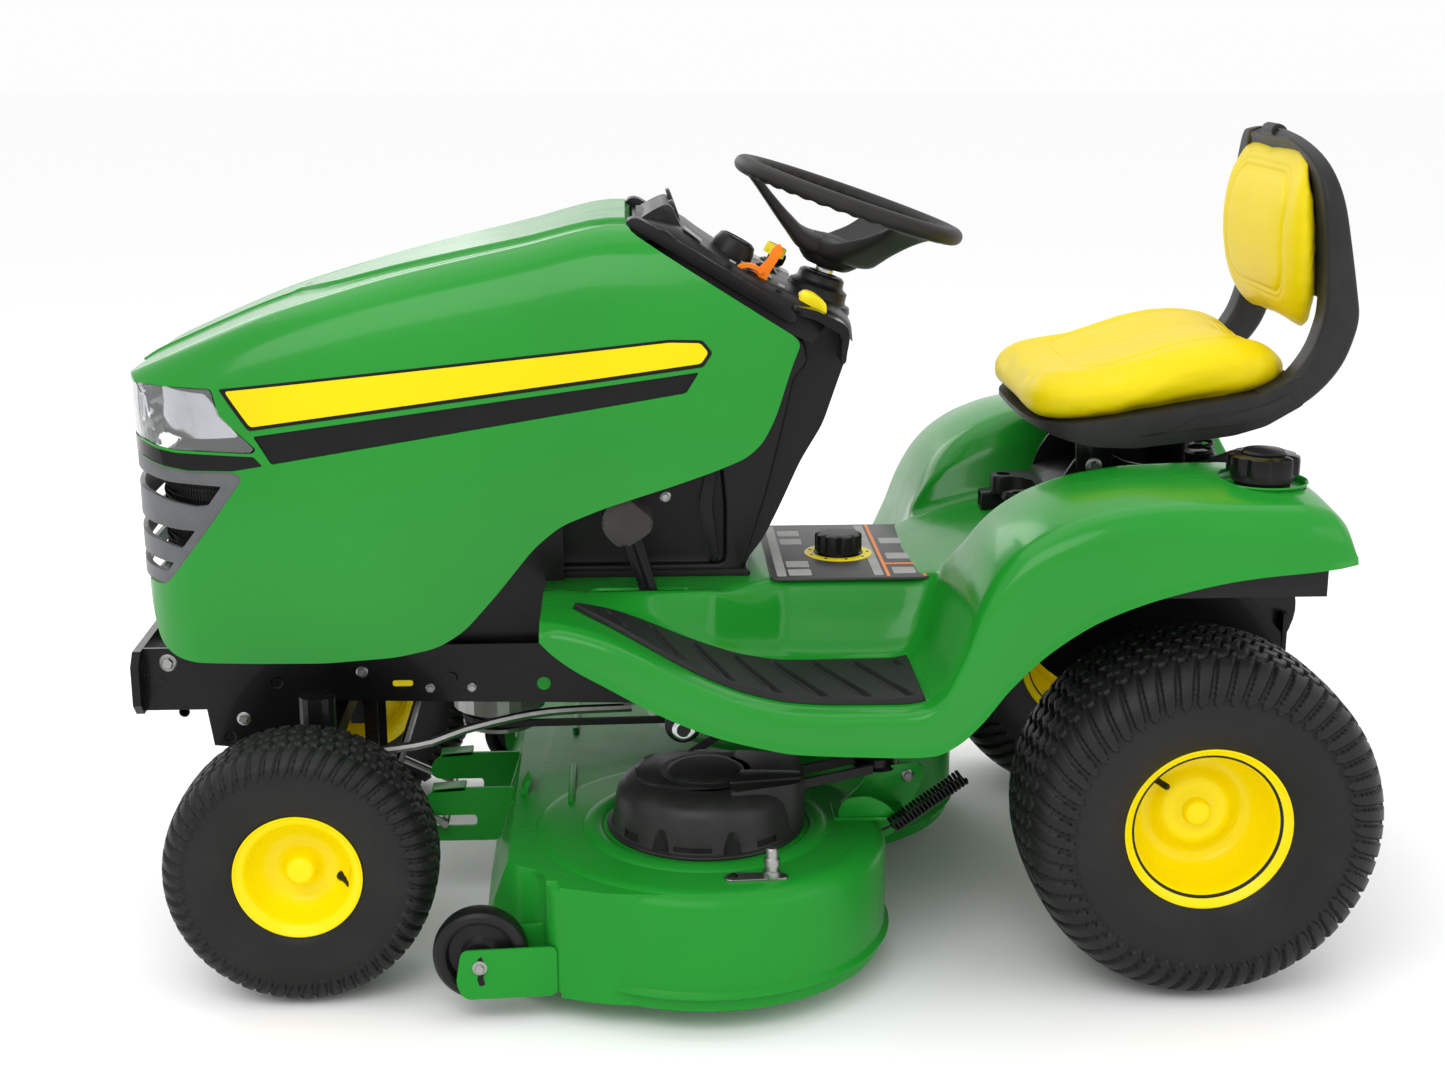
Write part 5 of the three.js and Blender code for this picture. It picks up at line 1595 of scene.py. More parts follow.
def knurled(name, place, axis, radius, height, lobes, depth, top_bevel=3):
    """A knob with finger lobes round its side."""
    axis = Vector(axis).normalized()
    side = axis.orthogonal().normalized()
    other = axis.cross(side)
    rows = []
    levels = [
        (0, 1.0),
        (height * 0.3, 1.0),
        (height - top_bevel, 1.0),
        (height - top_bevel * 0.3, 1 - 1.0 / radius),
        (height, 1 - top_bevel / radius),
        (height + 0.4, 0.5),
        (height + 0.5, 0.01),
    ]
    count = lobes * 12
    for level, share in levels:
        row = []
        for k in range(count):
            turn = 2 * math.pi * k / count
            dent = depth * max(0, math.cos(lobes * turn)) ** 2 if share > 0.6 else 0
            reach = (radius - dent) * share
            row.append(
                place + (side * math.cos(turn) * reach + other * math.sin(turn) * reach + axis * level) * MM
            )
        rows.append(row)
    return grid(name, rows, around=True, caps=True)


def console():
    for name, low, high in (("left", 138, 175), ("right", -175, -138)):
        wing = slab("wing", rounded(WING_SIDE, 8), low, high, bevel=6, segments=4)
        stands = ["dash_console"] if low > 0 else []
        smooth(piece(f"{name}_console_edge", wing, BLACK_MOULDING, "chassis", stands), 40)
    smooth(piece("console_crown", console_crown(), BLACK_MOULDING, "chassis"), 35)
    smooth(piece("instrument_pod", pod(), BLACK_MOULDING, "chassis"), 35)
    apron = slab(
        "apron",
        rounded([(154, 1030), (158, 1044), (142, 1048), (110, 1042), (92, 1028)], 5),
        -172,
        172,
        bevel=5,
        segments=3,
    )
    smooth(piece("console_apron", apron, BLACK_MOULDING, "chassis"), 40)
    face_axis = Vector((-0.94, 0, 0.34))
    for k, (y, radius) in enumerate(((-46, 30), (40, 20))):
        gauge = lathe(
            "gauge",
            [(0, -3), (radius, -3), (radius, 2), (radius - 2, 3), (radius - 3, 1), (0, 1)],
            face_axis,
            at(93, y, 1054),
            48,
        )
        smooth(piece(f"gauge_{k}", gauge, GLOSS_BLACK, "chassis"), 40)
    console_patch("fuel_slot", rounded([(84, 100), (58, 100), (56, 126), (80, 128)], 5), PALE)
    console_patch(
        "throttle_print", rounded([(-2, 60), (-46, 60), (-46, 96), (-2, 96)], 6), PALE
    )
    console_patch(
        "key_print", rounded([(-30, -150), (-86, -150), (-86, -92), (-30, -92)], 6), PALE
    )
    for k, (x, y) in enumerate(((18, 134), (-52, 134))):
        console_patch(
            f"throttle_mark_{k}",
            rounded([(x, y), (x - 9, y), (x - 9, y + 8), (x, y + 8)], 3),
            PALE,
        )
    place, normal = on_console(12, 34, -4)
    hump = lathe(
        "hump", [(0, 0), (33, 0), (32, 16), (28, 27), (23, 30), (21, 28.5), (0, 28.5)], normal, place, 64
    )
    smooth(piece("hour_pod", hump, BLACK_MOULDING, "chassis"), 35)
    place, normal = on_console(-56, -120, -1)
    barrel = lathe("lock", [(0, 0), (17, 0), (17, 4), (14, 6), (12, 6), (12, 8), (0, 8)], normal, place, 48)
    smooth(piece("key_lock", barrel, GLOSS_BLACK, "chassis"), 40)
    boot()
    corner_lids()


def boot():
    profile = [
        (0, -166), (56, -166), (58, -160), (55, -152), (48, -150), (46, -146), (45, -134), (38, -130),
        (36, -127), (35, -118), (31, -114.5), (22, -114), (22, -118), (0, -118),
    ]
    mesh = lathe("boot", profile, STEER_AXIS, STEER_CENTRE, 72)
    smooth(piece("steering_boot", mesh, BLACK_MOULDING, "chassis"), 35)


def corner_lids():
    """The parking-lock housing: a bright-edged lid over the rear corner of the console."""
    side_view = [
        (-68, 925), (-72, 935), (-104, 928), (-144, 909), (-152, 899), (-147, 852), (-140, 850),
        (-142, 892), (-104, 914),
    ]
    for name, low, high in (("left", 100, 172), ("right", -172, -100)):
        lid = slab("lid", rounded(side_view, 5), low, high, bevel=2.5, segments=3)
        smooth(piece(f"{name}_corner_lid", lid, GLOSS_BLACK, "chassis"), 40)


TOWER_SIDE = [
    (-160, 896), (-157, 862), (-141, 815), (-120, 752), (-88, 698), (-58, 630), (-34, 580), (-12, 552),
    (-4, 531),
    (262, 531), (306, 596), (262, 672), (140, 716), (104, 760), (104, 1000), (80, 1000), (-66, 905),
    (-150, 905),
]


def tower():
    core = slab("core", rounded(TOWER_SIDE, 16), -112, 112, bevel=14, segments=5)
    smooth(piece("tower_core", core, BLACK_MOULDING, "chassis", ["dash_tower"]), 40)
    flank_line = [
        (-96, 846), (-76, 826), (-62, 760), (-38, 660), (-6, 552), (4, 533), (322, 533), (336, 560),
        (322, 604), (262, 668),
        (138, 712), (96, 760), (96, 990), (60, 980), (-64, 902), (-90, 880),
    ]
    panel_line = [
        (24, 548), (296, 548), (306, 566), (290, 600), (246, 646), (130, 690), (78, 706), (30, 700),
        (24, 640),
    ]
    for name, sign in (("left", 1), ("right", -1)):
        low, high = sorted((sign * 100, sign * 137))
        flank = slab("flank", rounded(flank_line, 12), low, high)
        low, high = sorted((sign * 125, sign * 160))
        flank = boolean(flank, slab("panel", rounded(panel_line, 14), low, high), "DIFFERENCE")
        flank = with_modifiers(
            flank, ("BEVEL", {"width": 0.004, "segments": 3, "limit_method": "ANGLE", "angle_limit": 0.8})
        )
        smooth(piece(f"{name}_tower_flank", flank, BLACK_MOULDING, "chassis"), 35)
        rib = slab(
            "rib",
            rounded([(34, 552), (48, 552), (62, 640), (52, 690), (38, 690), (44, 640)], 5),
            *sorted((sign * 120, sign * 135)),
            bevel=3,
        )
        smooth(piece(f"{name}_tower_rib", rib, BLACK_MOULDING, "chassis"), 40)
        screw = hex_bolt("screw", at(112, sign * 125, 648), (0, sign, 0), 6, 5)
        smooth(piece(f"{name}_tower_screw", screw, ZINC, "chassis"), 30)
        foot = slab(
            "foot",
            rounded([(-14, 533), (-8, 524), (262, 524), (270, 533), (262, 541), (-10, 541)], 4),
            *sorted((sign * 60, sign * 141)),
            bevel=3,
        )
        smooth(piece(f"{name}_tower_foot", foot, BLACK_MOULDING, "chassis"), 40)


console()
tower()


# ---------------------------------------------------------------- hand controls
CONSOLE_AXIS = Vector((math.sin(math.radians(-26.3)), 0, math.cos(math.radians(-26.3))))


def throttle():
    blade = rounded(
        [
            (-22, 950), (-4, 962), (-10, 976), (-26, 984), (-38, 996), (-46, 1014), (-56, 1018),
            (-60, 1006), (-48, 988), (-38, 972), (-34, 956),
        ],
        5,
    )
    lever = slab("lever", blade, 117, 123, bevel=1.6)
    smooth(piece("throttle_blade", lever, ORANGE, "throttle", ["throttle_lever"]), 40)
    arc = []
    for k in range(25):
        turn = math.radians(150 - 100 * k / 24)
        arc.append((-8 + 27 * math.cos(turn), 963 + 27 * math.sin(turn)))
    inner = [(-8 + (x + 8) * 0.78, 963 + (z - 963) * 0.78) for x, z in reversed(arc)]
    quadrant = slab("quadrant", arc + inner, 113, 127, bevel=0.8)
    smooth(piece("throttle_quadrant", quadrant, ORANGE, "throttle"), 40)
    disc = lathe("disc", [(0, 0), (19, 0), (19, 10), (17, 12), (0, 12)], (0, 1, 0), at(-8, 114, 961), 48)
    smooth(piece("throttle_disc", disc, BLACK_MOULDING, "throttle"), 35)


def pto_knob():
    place = at(-44, 4, 970)
    stem = lathe("stem", [(0, -6), (6.5, -6), (6.5, 22), (0, 22)], CONSOLE_AXIS, place, 32)
    smooth(piece("pto_stem", stem, BLACK_MOULDING, "clutch_switch"), 40)
    cap = knurled("pto_cap", place + CONSOLE_AXIS * 20 * MM, CONSOLE_AXIS, 16.5, 16, 8, 1.4)
    smooth(piece("pto_cap", cap, YELLOW_MOULDING, "clutch_switch", ["pto_knob"]), 35)
    skirt = lathe("skirt", [(0, -8), (20, -8), (19, -2), (13, 3), (0, 3)], CONSOLE_AXIS, place, 40)
    smooth(piece("pto_seat", skirt, GLOSS_BLACK, "chassis"), 40)


def ignition_key():
    place = at(-60, -120, 951.5)
    stem = lathe("stem", [(0, -2), (3.6, -2), (3.6, 12), (0, 12)], CONSOLE_AXIS, place, 24)
    smooth(piece("key_stem", stem, CHROME, "key"), 40)
    ahead = Vector((CONSOLE_AXIS.z, 0, -CONSOLE_AXIS.x))
    bow = slab(
        "bow", rounded([(-13, 10), (-13, 29), (13, 29), (13, 10), (4, 6), (-4, 6)], 6), -2.6, 2.6, bevel=1.2
    )
    turn = Matrix((ahead, Vector((0, 1, 0)), CONSOLE_AXIS)).transposed().to_4x4()
    shift = Matrix.Translation(place) @ turn @ Matrix.Translation(-at(0, 0, 0))
    smooth(piece("key_bow", moved(bow, shift), GLOSS_BLACK, "key", ["ignition_key"]), 40)


def park_tab():
    tab = slab(
        "tab",
        rounded([(-121, 912), (-86, 926), (-80, 940), (-90, 950), (-104, 946), (-122, 932)], 5),
        101,
        137,
        bevel=4,
        segments=3,
    )
    smooth(piece("park_tab", tab, YELLOW_MOULDING, "park_lock", ["park_lock_tab"]), 40)


def depth_dial():
    place = at(-155, 25, 531)
    panel = slab(
        "panel",
        rounded([(-42, -150), (-278, -150), (-278, 166), (-42, 166)], 10),
        529,
        532.6,
        "XY",
        bevel=0.6,
    )
    smooth(piece("tunnel_label", panel, LABEL, "chassis"), 30)
    for k, x in enumerate((-52, -196)):
        bar = slab("bar", rounded([(x, -140), (x - 14, -140), (x - 14, 156), (x, 156)], 3), 532, 533.2, "XY")
        smooth(piece(f"label_bar_{k}", bar, PALE, "chassis"), 30)
    for k, (x, y) in enumerate(
        ((-80, 118), (-80, 72), (-80, -60), (-80, -110), (-236, 112), (-236, 30), (-236, -60))
    ):
        box_line = rounded([(x + 10, y), (x - 24, y), (x - 24, y + 34), (x + 10, y + 34)], 3)
        smooth(
            piece(
                f"label_box_{k}", slab("box", box_line, 532, 533.0, "XY"), PALE, "chassis"
            ),
            30,
        )
    for k, (x, wide) in enumerate(((-214, 5), (-268, 5))):
        edge = slab(
            "edge", rounded([(x, -146), (x - wide, -146), (x - wide, 162), (x, 162)], 2), 532, 533.3, "XY"
        )
        smooth(piece(f"label_edge_{k}", edge, ORANGE, "chassis"), 30)
    band = slab("band", rounded([(-218, 88), (-268, 88), (-268, 96), (-218, 96)], 2), 532, 533.2, "XY")
    smooth(piece("label_band", band, ORANGE, "chassis"), 30)
    ring = lathe(
        "ring", [(38, 0.5), (52, 0.5), (52, 2.6), (51, 3.2), (38, 3.2), (38, 0.5)], (0, 0, 1), place, 72
    )
    smooth(piece("dial_scale", ring, YELLOW_MOULDING, "chassis"), 40)
    for k in range(9):
        turn = math.radians(20 + 40 * k)
        spot = place + Vector((45 * math.cos(turn), 45 * math.sin(turn), 3.0)) * MM
        tick = lathe("tick", [(0, 0), (2.2, 0), (2.2, 0.9), (0, 0.9)], (0, 0, 1), spot, 16)
        smooth(piece(f"dial_tick_{k}", tick, GLOSS_BLACK, "chassis"), 40)
    base = lathe("base", [(0, 0), (32, 0), (31, 8), (0, 8)], (0, 0, 1), place, 48)
    smooth(piece("dial_base", base, BLACK_MOULDING, "dial"), 40)
    grip = knurled("dial_grip", place + Vector((0, 0, 7)) * MM, (0, 0, 1), 36, 27, 9, 5, 4)
    smooth(piece("dial_grip", grip, BLACK_MOULDING, "dial", ["depth_dial"]), 35)


def fuel_cap():
    place = at(-712, 325, 713)
    neck = lathe("neck", [(0, -34), (38, -34), (38, -4), (0, -4)], (0, 0, 1), place, 48)
    smooth(piece("fuel_neck", neck, BLACK_MOULDING, "chassis"), 40)
    for k in range(3):
        thread = lathe(
            "thread",
            [(37, -8 - 8 * k), (40, -9.5 - 8 * k), (40, -11 - 8 * k), (37, -12.5 - 8 * k)],
            (0, 0, 1),
            place,
            48,
        )
        smooth(piece(f"fuel_thread_{k}", thread, BLACK_MOULDING, "chassis"), 50)
    skirt = lathe("skirt", [(0, -1), (42, -1), (43, 0), (43, 14), (0, 14)], (0, 0, 1), place, 64)
    smooth(piece("cap_skirt", skirt, COVER_MOULDING, "cap"), 40)
    lid = knurled("cap_lid", place + Vector((0, 0, 10)) * MM, (0, 0, 1), 50, 26, 8, 5, 7)
    smooth(piece("cap_lid", lid, GLOSS_BLACK, "cap", ["fuel_cap"]), 30)
    top = lathe("top", [(0, 34), (30, 34), (31, 38), (28, 41), (0, 42)], (0, 0, 1), place, 64)
    smooth(piece("cap_top", top, GLOSS_BLACK, "cap"), 35)


def pedals():
    pad_line = [
        (206, 642), (198, 662), (186, 682), (170, 680), (134, 648), (130, 636), (140, 624), (172, 604),
        (186, 610), (200, 626),
    ]
    pad = slab("pad", rounded(pad_line, 8), 188, 256, bevel=7, segments=4)
    smooth(piece("lift_pad", pad, PAD, "lift", ["lift_pedal"]), 35)
    arm = tube("arm", [at(94, 210, 366), at(104, 210, 420), at(132, 210, 520), at(158, 210, 606)], 9)
    smooth(piece("lift_arm", arm, BLACK_STEEL, "lift"), 60)
    blade = slab("blade", rounded([(84, 376), (104, 376), (176, 612), (150, 618)], 5), 203, 217, bevel=2)
    smooth(piece("lift_blade", blade, BLACK_STEEL, "lift"), 40)
    sleeve = lathe(
        "sleeve", [(14, -14), (22, -14), (22, 14), (14, 14), (14, -14)], (0, 1, 0), at(92, 210, 360), 40
    )
    smooth(piece("lift_sleeve", sleeve, BLACK_STEEL, "lift"), 40)
    cap = lathe(
        "cap",
        [(8, 0), (13, 0), (13, 15), (16, 16), (16.5, 20), (14, 22), (10, 22), (8, 20), (8, 0)],
        (0, 1, 0),
        at(92, 314, 360),
        40,
    )
    smooth(piece("lift_shaft_end", cap, CHROME, "lift"), 40)
    for name, x, rise in (("forward", 130, 590), ("reverse", 20, 560)):
        tread = [(x + 6, rise - 4), (x + 12, rise - 14), (x + 84, rise + 24), (x + 80, rise + 36)]
        sole = slab("sole", rounded(tread, 5), -246, -178, bevel=4, segments=3)
        smooth(piece(f"{name}_pad", sole, MAT, f"{name}", [f"{name}_pedal"]), 40)
        stem = slab(
            "stem",
            rounded([(x - 9, 392), (x + 9, 392), (x + 38, rise - 8), (x + 22, rise - 4)], 4),
            -215,
            -205,
            bevel=2,
        )
        smooth(piece(f"{name}_stem", stem, BLACK_STEEL, f"{name}"), 40)
        for k in range(5):
            share = 0.12 + 0.19 * k
            spot = Vector((x + 8 + 74 * share, 0, rise - 3 + 39 * share))
            rib = tube("rib", [at(spot.x, -240, spot.z), at(spot.x, -184, spot.z)], 2.4, smooth=False)
            smooth(piece(f"{name}_rib_{k}", rib, MAT, f"{name}"), 60)


throttle()
pto_knob()
ignition_key()
park_tab()
depth_dial()
fuel_cap()
pedals()


# ---------------------------------------------------------------- mower deck
DECK_LOW, DECK_HIGH, DECK_SHEET = 57, 204, 3.5
LEFT_SPINDLE, LEFT_REACH = (60, 295), 260
RIGHT_SPINDLE, RIGHT_REACH = (-110, -230), 266
DECK_FRONT = [
    (60, 300), (-110, 0), (-110, -490), (120, -490), (292, -400), (296, -332), (385, -332),
    (385, 150), (378, 360), (330, 430), (292, 448), (284, 500), (200, 530), (60, 540),
]
FRONT_WALL = [(399, 20), (327, 250)]
GAUGE_HEIGHT = 95
GAUGE_PROFILE = [
    (8.4, -13), (19, -14), (22, -10), (26, -6), (43, -5), (47, -15), (52, -18), (59, -17.6), (63.4, -14),
    (65, -6),
    (65, 6), (63.4, 14), (59, 17.6), (52, 18), (47, 15), (43, 5), (26, 6), (22, 10), (19, 14), (8.4, 13),
    (8.4, -13),
]


def offset_line(outline, inward):
    """The outline drawn again inside itself, for an outline that runs clockwise seen from above."""
    area = sum(a[0] * b[1] - b[0] * a[1] for a, b in zip(outline, outline[1:] + outline[:1]))
    sign = inward if area > 0 else -inward
    points = []
    count = len(outline)
    for i in range(count):
        before, here, after = Vector(outline[i - 1]), Vector(outline[i]), Vector(outline[(i + 1) % count])
        first, second = (here - before).normalized(), (after - here).normalized()
        normal_1, normal_2 = Vector((-first.y, first.x)), Vector((-second.y, second.x))
        middle = (normal_1 + normal_2).normalized()
        reach = sign / max(0.3, middle.dot(normal_1))
        points.append(tuple(here + middle * reach))
    return points


def chamber(centre, reach, low, high, shoulder):
    """One round cutting chamber with a soft shoulder."""
    arc = [
        (
            reach - shoulder * (1 - math.cos(t)), high - shoulder * (1 - math.sin(t))
        ) for t in np.linspace(0, math.pi / 2, 9)
    ]
    profile = [(0, low), (reach, low)] + arc + [(0, high)]
    return lathe("chamber", profile, (0, 0, 1), at(centre[0], centre[1], 0), 120)


def deck_solid(skin, low, high):
    solid = chamber(LEFT_SPINDLE, LEFT_REACH - skin, low, high, 30)
    solid = boolean(solid, chamber(RIGHT_SPINDLE, RIGHT_REACH - skin, low, high, 30), "UNION")
    line = rounded(offset_line(DECK_FRONT, skin) if skin else DECK_FRONT, 26, 6)
    front = slab("deck_front", line, low, high - 0.6, "XY", bevel=15, segments=5)
    wall = [(x - skin, z) for x, z in FRONT_WALL] + [(600, 250), (600, 20)]
    front = boolean(front, slab("deck_cut", wall, -600, 600), "DIFFERENCE")
    return boolean(solid, front, "UNION")


def deck_skin():
    outer = deck_solid(0, DECK_LOW, DECK_HIGH)
    for centre, reach in ((LEFT_SPINDLE, LEFT_REACH), (RIGHT_SPINDLE, RIGHT_REACH)):
        lip = [
            (reach - 20, 57), (reach + 5, 57), (reach + 7, 58.5), (reach + 7, 60.5), (reach + 4, 63),
            (reach - 2, 69), (reach - 20, 69),
        ]
        rim = lathe("rim", lip + [lip[0]], (0, 0, 1), at(centre[0], centre[1], 0), 120)
        outer = boolean(outer, rim, "UNION")
    shell = boolean(outer, deck_solid(DECK_SHEET, DECK_LOW - 20, DECK_HIGH - DECK_SHEET), "DIFFERENCE")
    mouth = slab("mouth", rounded([(-20, 20), (262, 20), (262, 180), (-20, 180)], 12), -560, -430)
    return boolean(shell, mouth, "DIFFERENCE")


def on_deck(name, mesh, material, degrees=35, stands=()):
    smooth(piece(name, mesh, material, "mower_deck", list(stands)), degrees)


def deck_top():
    skin = deck_skin()
    skin.validate()
    on_deck("deck_skin", skin, DECK_GREEN, stands=["deck_shell"])
    for name, (x, y) in (("left", LEFT_SPINDLE), ("right", RIGHT_SPINDLE)):
        bead = [
            (147, 202), (149, 206), (154, 209), (162, 209.6), (171, 208), (178, 204.6), (180, 202),
            (147, 202),
        ]
        on_deck(f"{name}_deck_bead", lathe("bead", bead, (0, 0, 1), at(x, y, 0), 120), DECK_GREEN)
        housing = lathe(
            "housing",
            [(14, 150), (42, 150), (42, 249), (40, 250), (14, 250), (14, 150)],
            (0, 0, 1),
            at(x, y, 0),
            48,
        )
        on_deck(f"{name}_housing", housing, DECK_GREEN)
    for k, (x0, x1, y) in enumerate(((250, 262, 60), (250, 262, -250))):
        ridge = slab(
            "ridge", rounded([(x0, 203), (x0 + 2, 209), (x1 - 2, 209), (x1, 203)], 3), y, y + 150, bevel=2
        )
        on_deck(f"deck_ridge_{k}", ridge, DECK_GREEN)
    hem = slab(
        "hem",
        rounded([(352, 118), (332, 206), (322, 222), (316, 222), (322, 206), (340, 118)], 4),
        118,
        164,
        bevel=2,
    )
    on_deck("deck_hem", hem, DECK_GREEN)
    for k, z in enumerate((140, 176)):
        bolt = hex_bolt("bolt", at(362 - (z - 118) * 0.3, 141, z), (0.95, 0, 0.3), 5, 4)
        on_deck(f"hem_bolt_{k}", bolt, DECK_GREEN, degrees=30)
    port_profile = [
        (0, 0), (12, 0), (12, 12), (9, 14), (9, 20), (11, 21), (11, 30), (8.5, 32), (8.5, 44), (6.5, 46),
        (0, 46),
    ]
    port = lathe("port", port_profile, (0, 0, 1), at(-22, 493, 202), 40)
    on_deck("washout_port", port, ZINC)
    foot = slab(
        "foot",
        rounded([(-44, 484), (-44, 502), (40, 506), (44, 490), (30, 480)], 8),
        203,
        207,
        "XY",
        bevel=1,
    )
    on_deck("washout_foot", foot, ZINC)
    screw = hex_bolt("screw", at(30, 493, 207), (0, 0, 1), 4.5, 4)
    on_deck("washout_screw", screw, GLOSS_BLACK)


def deck_brackets():
    left_plate = [(400, 108), (270, 112), (270, 40), (398, 36), (408, 60)]
    on_deck("left_gauge_plate", slab("plate", rounded(left_plate, 10), 497, 501, bevel=1), DECK_GREEN)
    on_deck(
        "left_gauge_wing",
        slab("wing", rounded([(396, 112), (270, 128), (270, 60), (396, 70)], 8), 449, 453, bevel=1),
        DECK_GREEN,
    )
    right_plate = [(392, 112), (268, 116), (268, 60), (388, 66)]
    on_deck("right_gauge_plate", slab("plate", rounded(right_plate, 10), -384, -380, bevel=1), DECK_GREEN)
    on_deck("right_gauge_wing", slab("wing", rounded(right_plate, 10), -429, -425, bevel=1), DECK_GREEN)
    # Painted shade: the slot through the gauge plate is a gloss black film on the plate, standing in for the
    # dark opening.
    slot = rounded(
        [(378, 96), (372, 100), (366, 78), (371, 70), (368, 58), (376, 56), (379, 66), (376, 78)], 2.5
    )
    on_deck("gauge_slot_shade", slab("slot", slot, 500.4, 501.5), GLOSS_BLACK)
    for name, x, y in (("left", 375, 501), ("right", 362, -380)):
        bolt = hex_bolt("bolt", at(x, y, GAUGE_HEIGHT - (12 if name == "left" else 0)), (0, 1, 0), 7, 7)
        on_deck(f"{name}_gauge_bolt", bolt, ZINC, 30)
        pin = lathe("pin", [(0, 0), (8, 0), (8, 48), (0, 48)], (0, 1, 0), at(x, y - 50, GAUGE_HEIGHT), 32)
        on_deck(f"{name}_gauge_pin", pin, ZINC)
    plate = [
        (343, 190), (428, 190), (468, 187), (486, 172), (486, 152), (476, 146), (405, 146), (403, 137),
        (405, 128), (470, 128),
        (484, 118), (470, 104), (370, 104),
    ]
    for k, (low, high) in enumerate(((104, 109), (-49, -44))):
        body = slab("hook", rounded(plate, 8), low, high)
        on_deck(f"deck_hook_{k}", body, DECK_GREEN)
        flange = slab(
            "flange", rounded([(420, 186), (470, 183), (472, 188), (420, 192)], 2), low - 24, high, bevel=1
        )
        on_deck(f"hook_flange_{k}", flange, DECK_GREEN)


def hanger(name, y, back):
    outline = [
        (back - 5, 150), (back + 50, 203), (back + 62, 206), (back + 30, 234), (back + 18, 256),
        (back - 10, 266),
        (back - 50, 270), (back - 66, 262), (back - 62, 240), (back - 22, 160),
    ]
    on_deck(f"{name}_hanger", slab("hanger", rounded(outline, 10), y, y + 5, bevel=1.2), DECK_GREEN)
    foot = slab(
        "foot",
        rounded([(back + 74, 203), (back + 74, 208), (back - 30, 208), (back - 34, 203)], 2),
        y - 4,
        y + 62,
        bevel=1.5,
    )
    on_deck(f"{name}_hanger_foot", foot, DECK_GREEN)
    cheek = slab(
        "cheek",
        rounded(
            [(back + 70, 206), (back + 60, 236), (back + 24, 240), (back - 4, 226), (back - 20, 206)], 10
        ),
        y + 54,
        y + 58,
        bevel=1,
    )
    on_deck(f"{name}_hanger_cheek", cheek, DECK_GREEN)
    bolt = hex_bolt("bolt", at(back - 40, y + 5, 250), (0, 1, 0), 6.5, 6)
    on_deck(f"{name}_hanger_bolt", bolt, ZINC, 30)


def deck_spring(name, y, back):
    start, end = at(back - 10, y, 196), at(back - 112, y, 270)
    on_deck(f"{name}_deck_spring", coil("spring", start, end, 11, 2.6, 20), GLOSS_BLACK, 60)
    lead = tube("lead", [at(back + 22, y - 6, 178), at(back + 8, y - 2, 186), start], 1.8)
    on_deck(f"{name}_spring_hook", lead, GLOSS_BLACK, 60)


COVER_PROFILE = [
    (0, 205), (141, 205), (142, 207), (141, 209.5), (136, 211), (134, 216), (131, 240), (127, 258),
    (121, 268), (112, 275), (98, 279), (0, 279),
]


def cover(name, centre, stands):
    """A spindle cover: a round skirt, a raised disc, and a tail over the belt."""
    x, y = centre
    shape = lathe("cover", COVER_PROFILE, (0, 0, 1), at(x, y, 0), 96)
    tail_line = [
        (x - 40, y - 84), (x - 128, y - 66), (x - 140, y - 50), (x - 140, y + 46), (x - 124, y + 62),
        (x - 30, y + 92),
    ]
    tail = slab("tail", rounded(tail_line, 12), 210, 285, "XY", bevel=9, segments=4)
    shape = boolean(shape, tail, "UNION")
    crest = slab(
        "crest",
        rounded(
            [
                (x + 104, y - 40), (x + 60, y - 92), (x - 96, y - 60), (x - 96, y + 44), (x + 20, y + 66),
                (x + 96, y + 40),
            ],
            26,
        ),
        262,
        283,
        "XY",
        bevel=8,
        segments=4,
    )
    shape = boolean(shape, crest, "UNION")
    for turn, low, high, wide in (
        (80, 213, 220, 27), (128, 213, 222, 18), (36, 213, 224, 16), (-100, 213, 220, 27)
    ):
        spot = Vector((x + 136 * math.cos(math.radians(turn)), y + 136 * math.sin(math.radians(turn))))
        across = Vector((-math.sin(math.radians(turn)), math.cos(math.radians(turn)))) * wide
        out = Vector((math.cos(math.radians(turn)), math.sin(math.radians(turn)))) * 8
        line = [
            tuple(spot + across + out), tuple(spot - across + out), tuple(spot - across - out),
            tuple(spot + across - out),
        ]
        shape = boolean(shape, slab("slot", line, low, high, "XY"), "DIFFERENCE")
    for turn in (104, 60, -60):
        spot = at(x + 142 * math.cos(math.radians(turn)), y + 142 * math.sin(math.radians(turn)), 214)
        flute = lathe("flute", [(0, -4), (15, -4), (15, 6), (12, 26), (5, 40), (0, 42)], (0, 0, 1), spot, 32)
        shape = boolean(shape, flute, "DIFFERENCE")
    on_deck(f"{name}_cover", shape, COVER_MOULDING, 32, stands)
    disc = lathe(
        "disc",
        [(0, 281), (56, 281), (55, 286), (50, 289), (44, 289.6), (0, 289.9)],
        (0, 0, 1),
        at(x, y, 0),
        72,
    )
    on_deck(f"{name}_cover_disc", disc, COVER_MOULDING)
    rib = slab(
        "rib",
        rounded([(x - 36, y + 8), (x - 136, y + 16), (x - 136, y + 44), (x - 30, y + 60)], 8),
        282,
        288.5,
        "XY",
        bevel=3,
    )
    on_deck(f"{name}_cover_rib", rib, COVER_MOULDING)


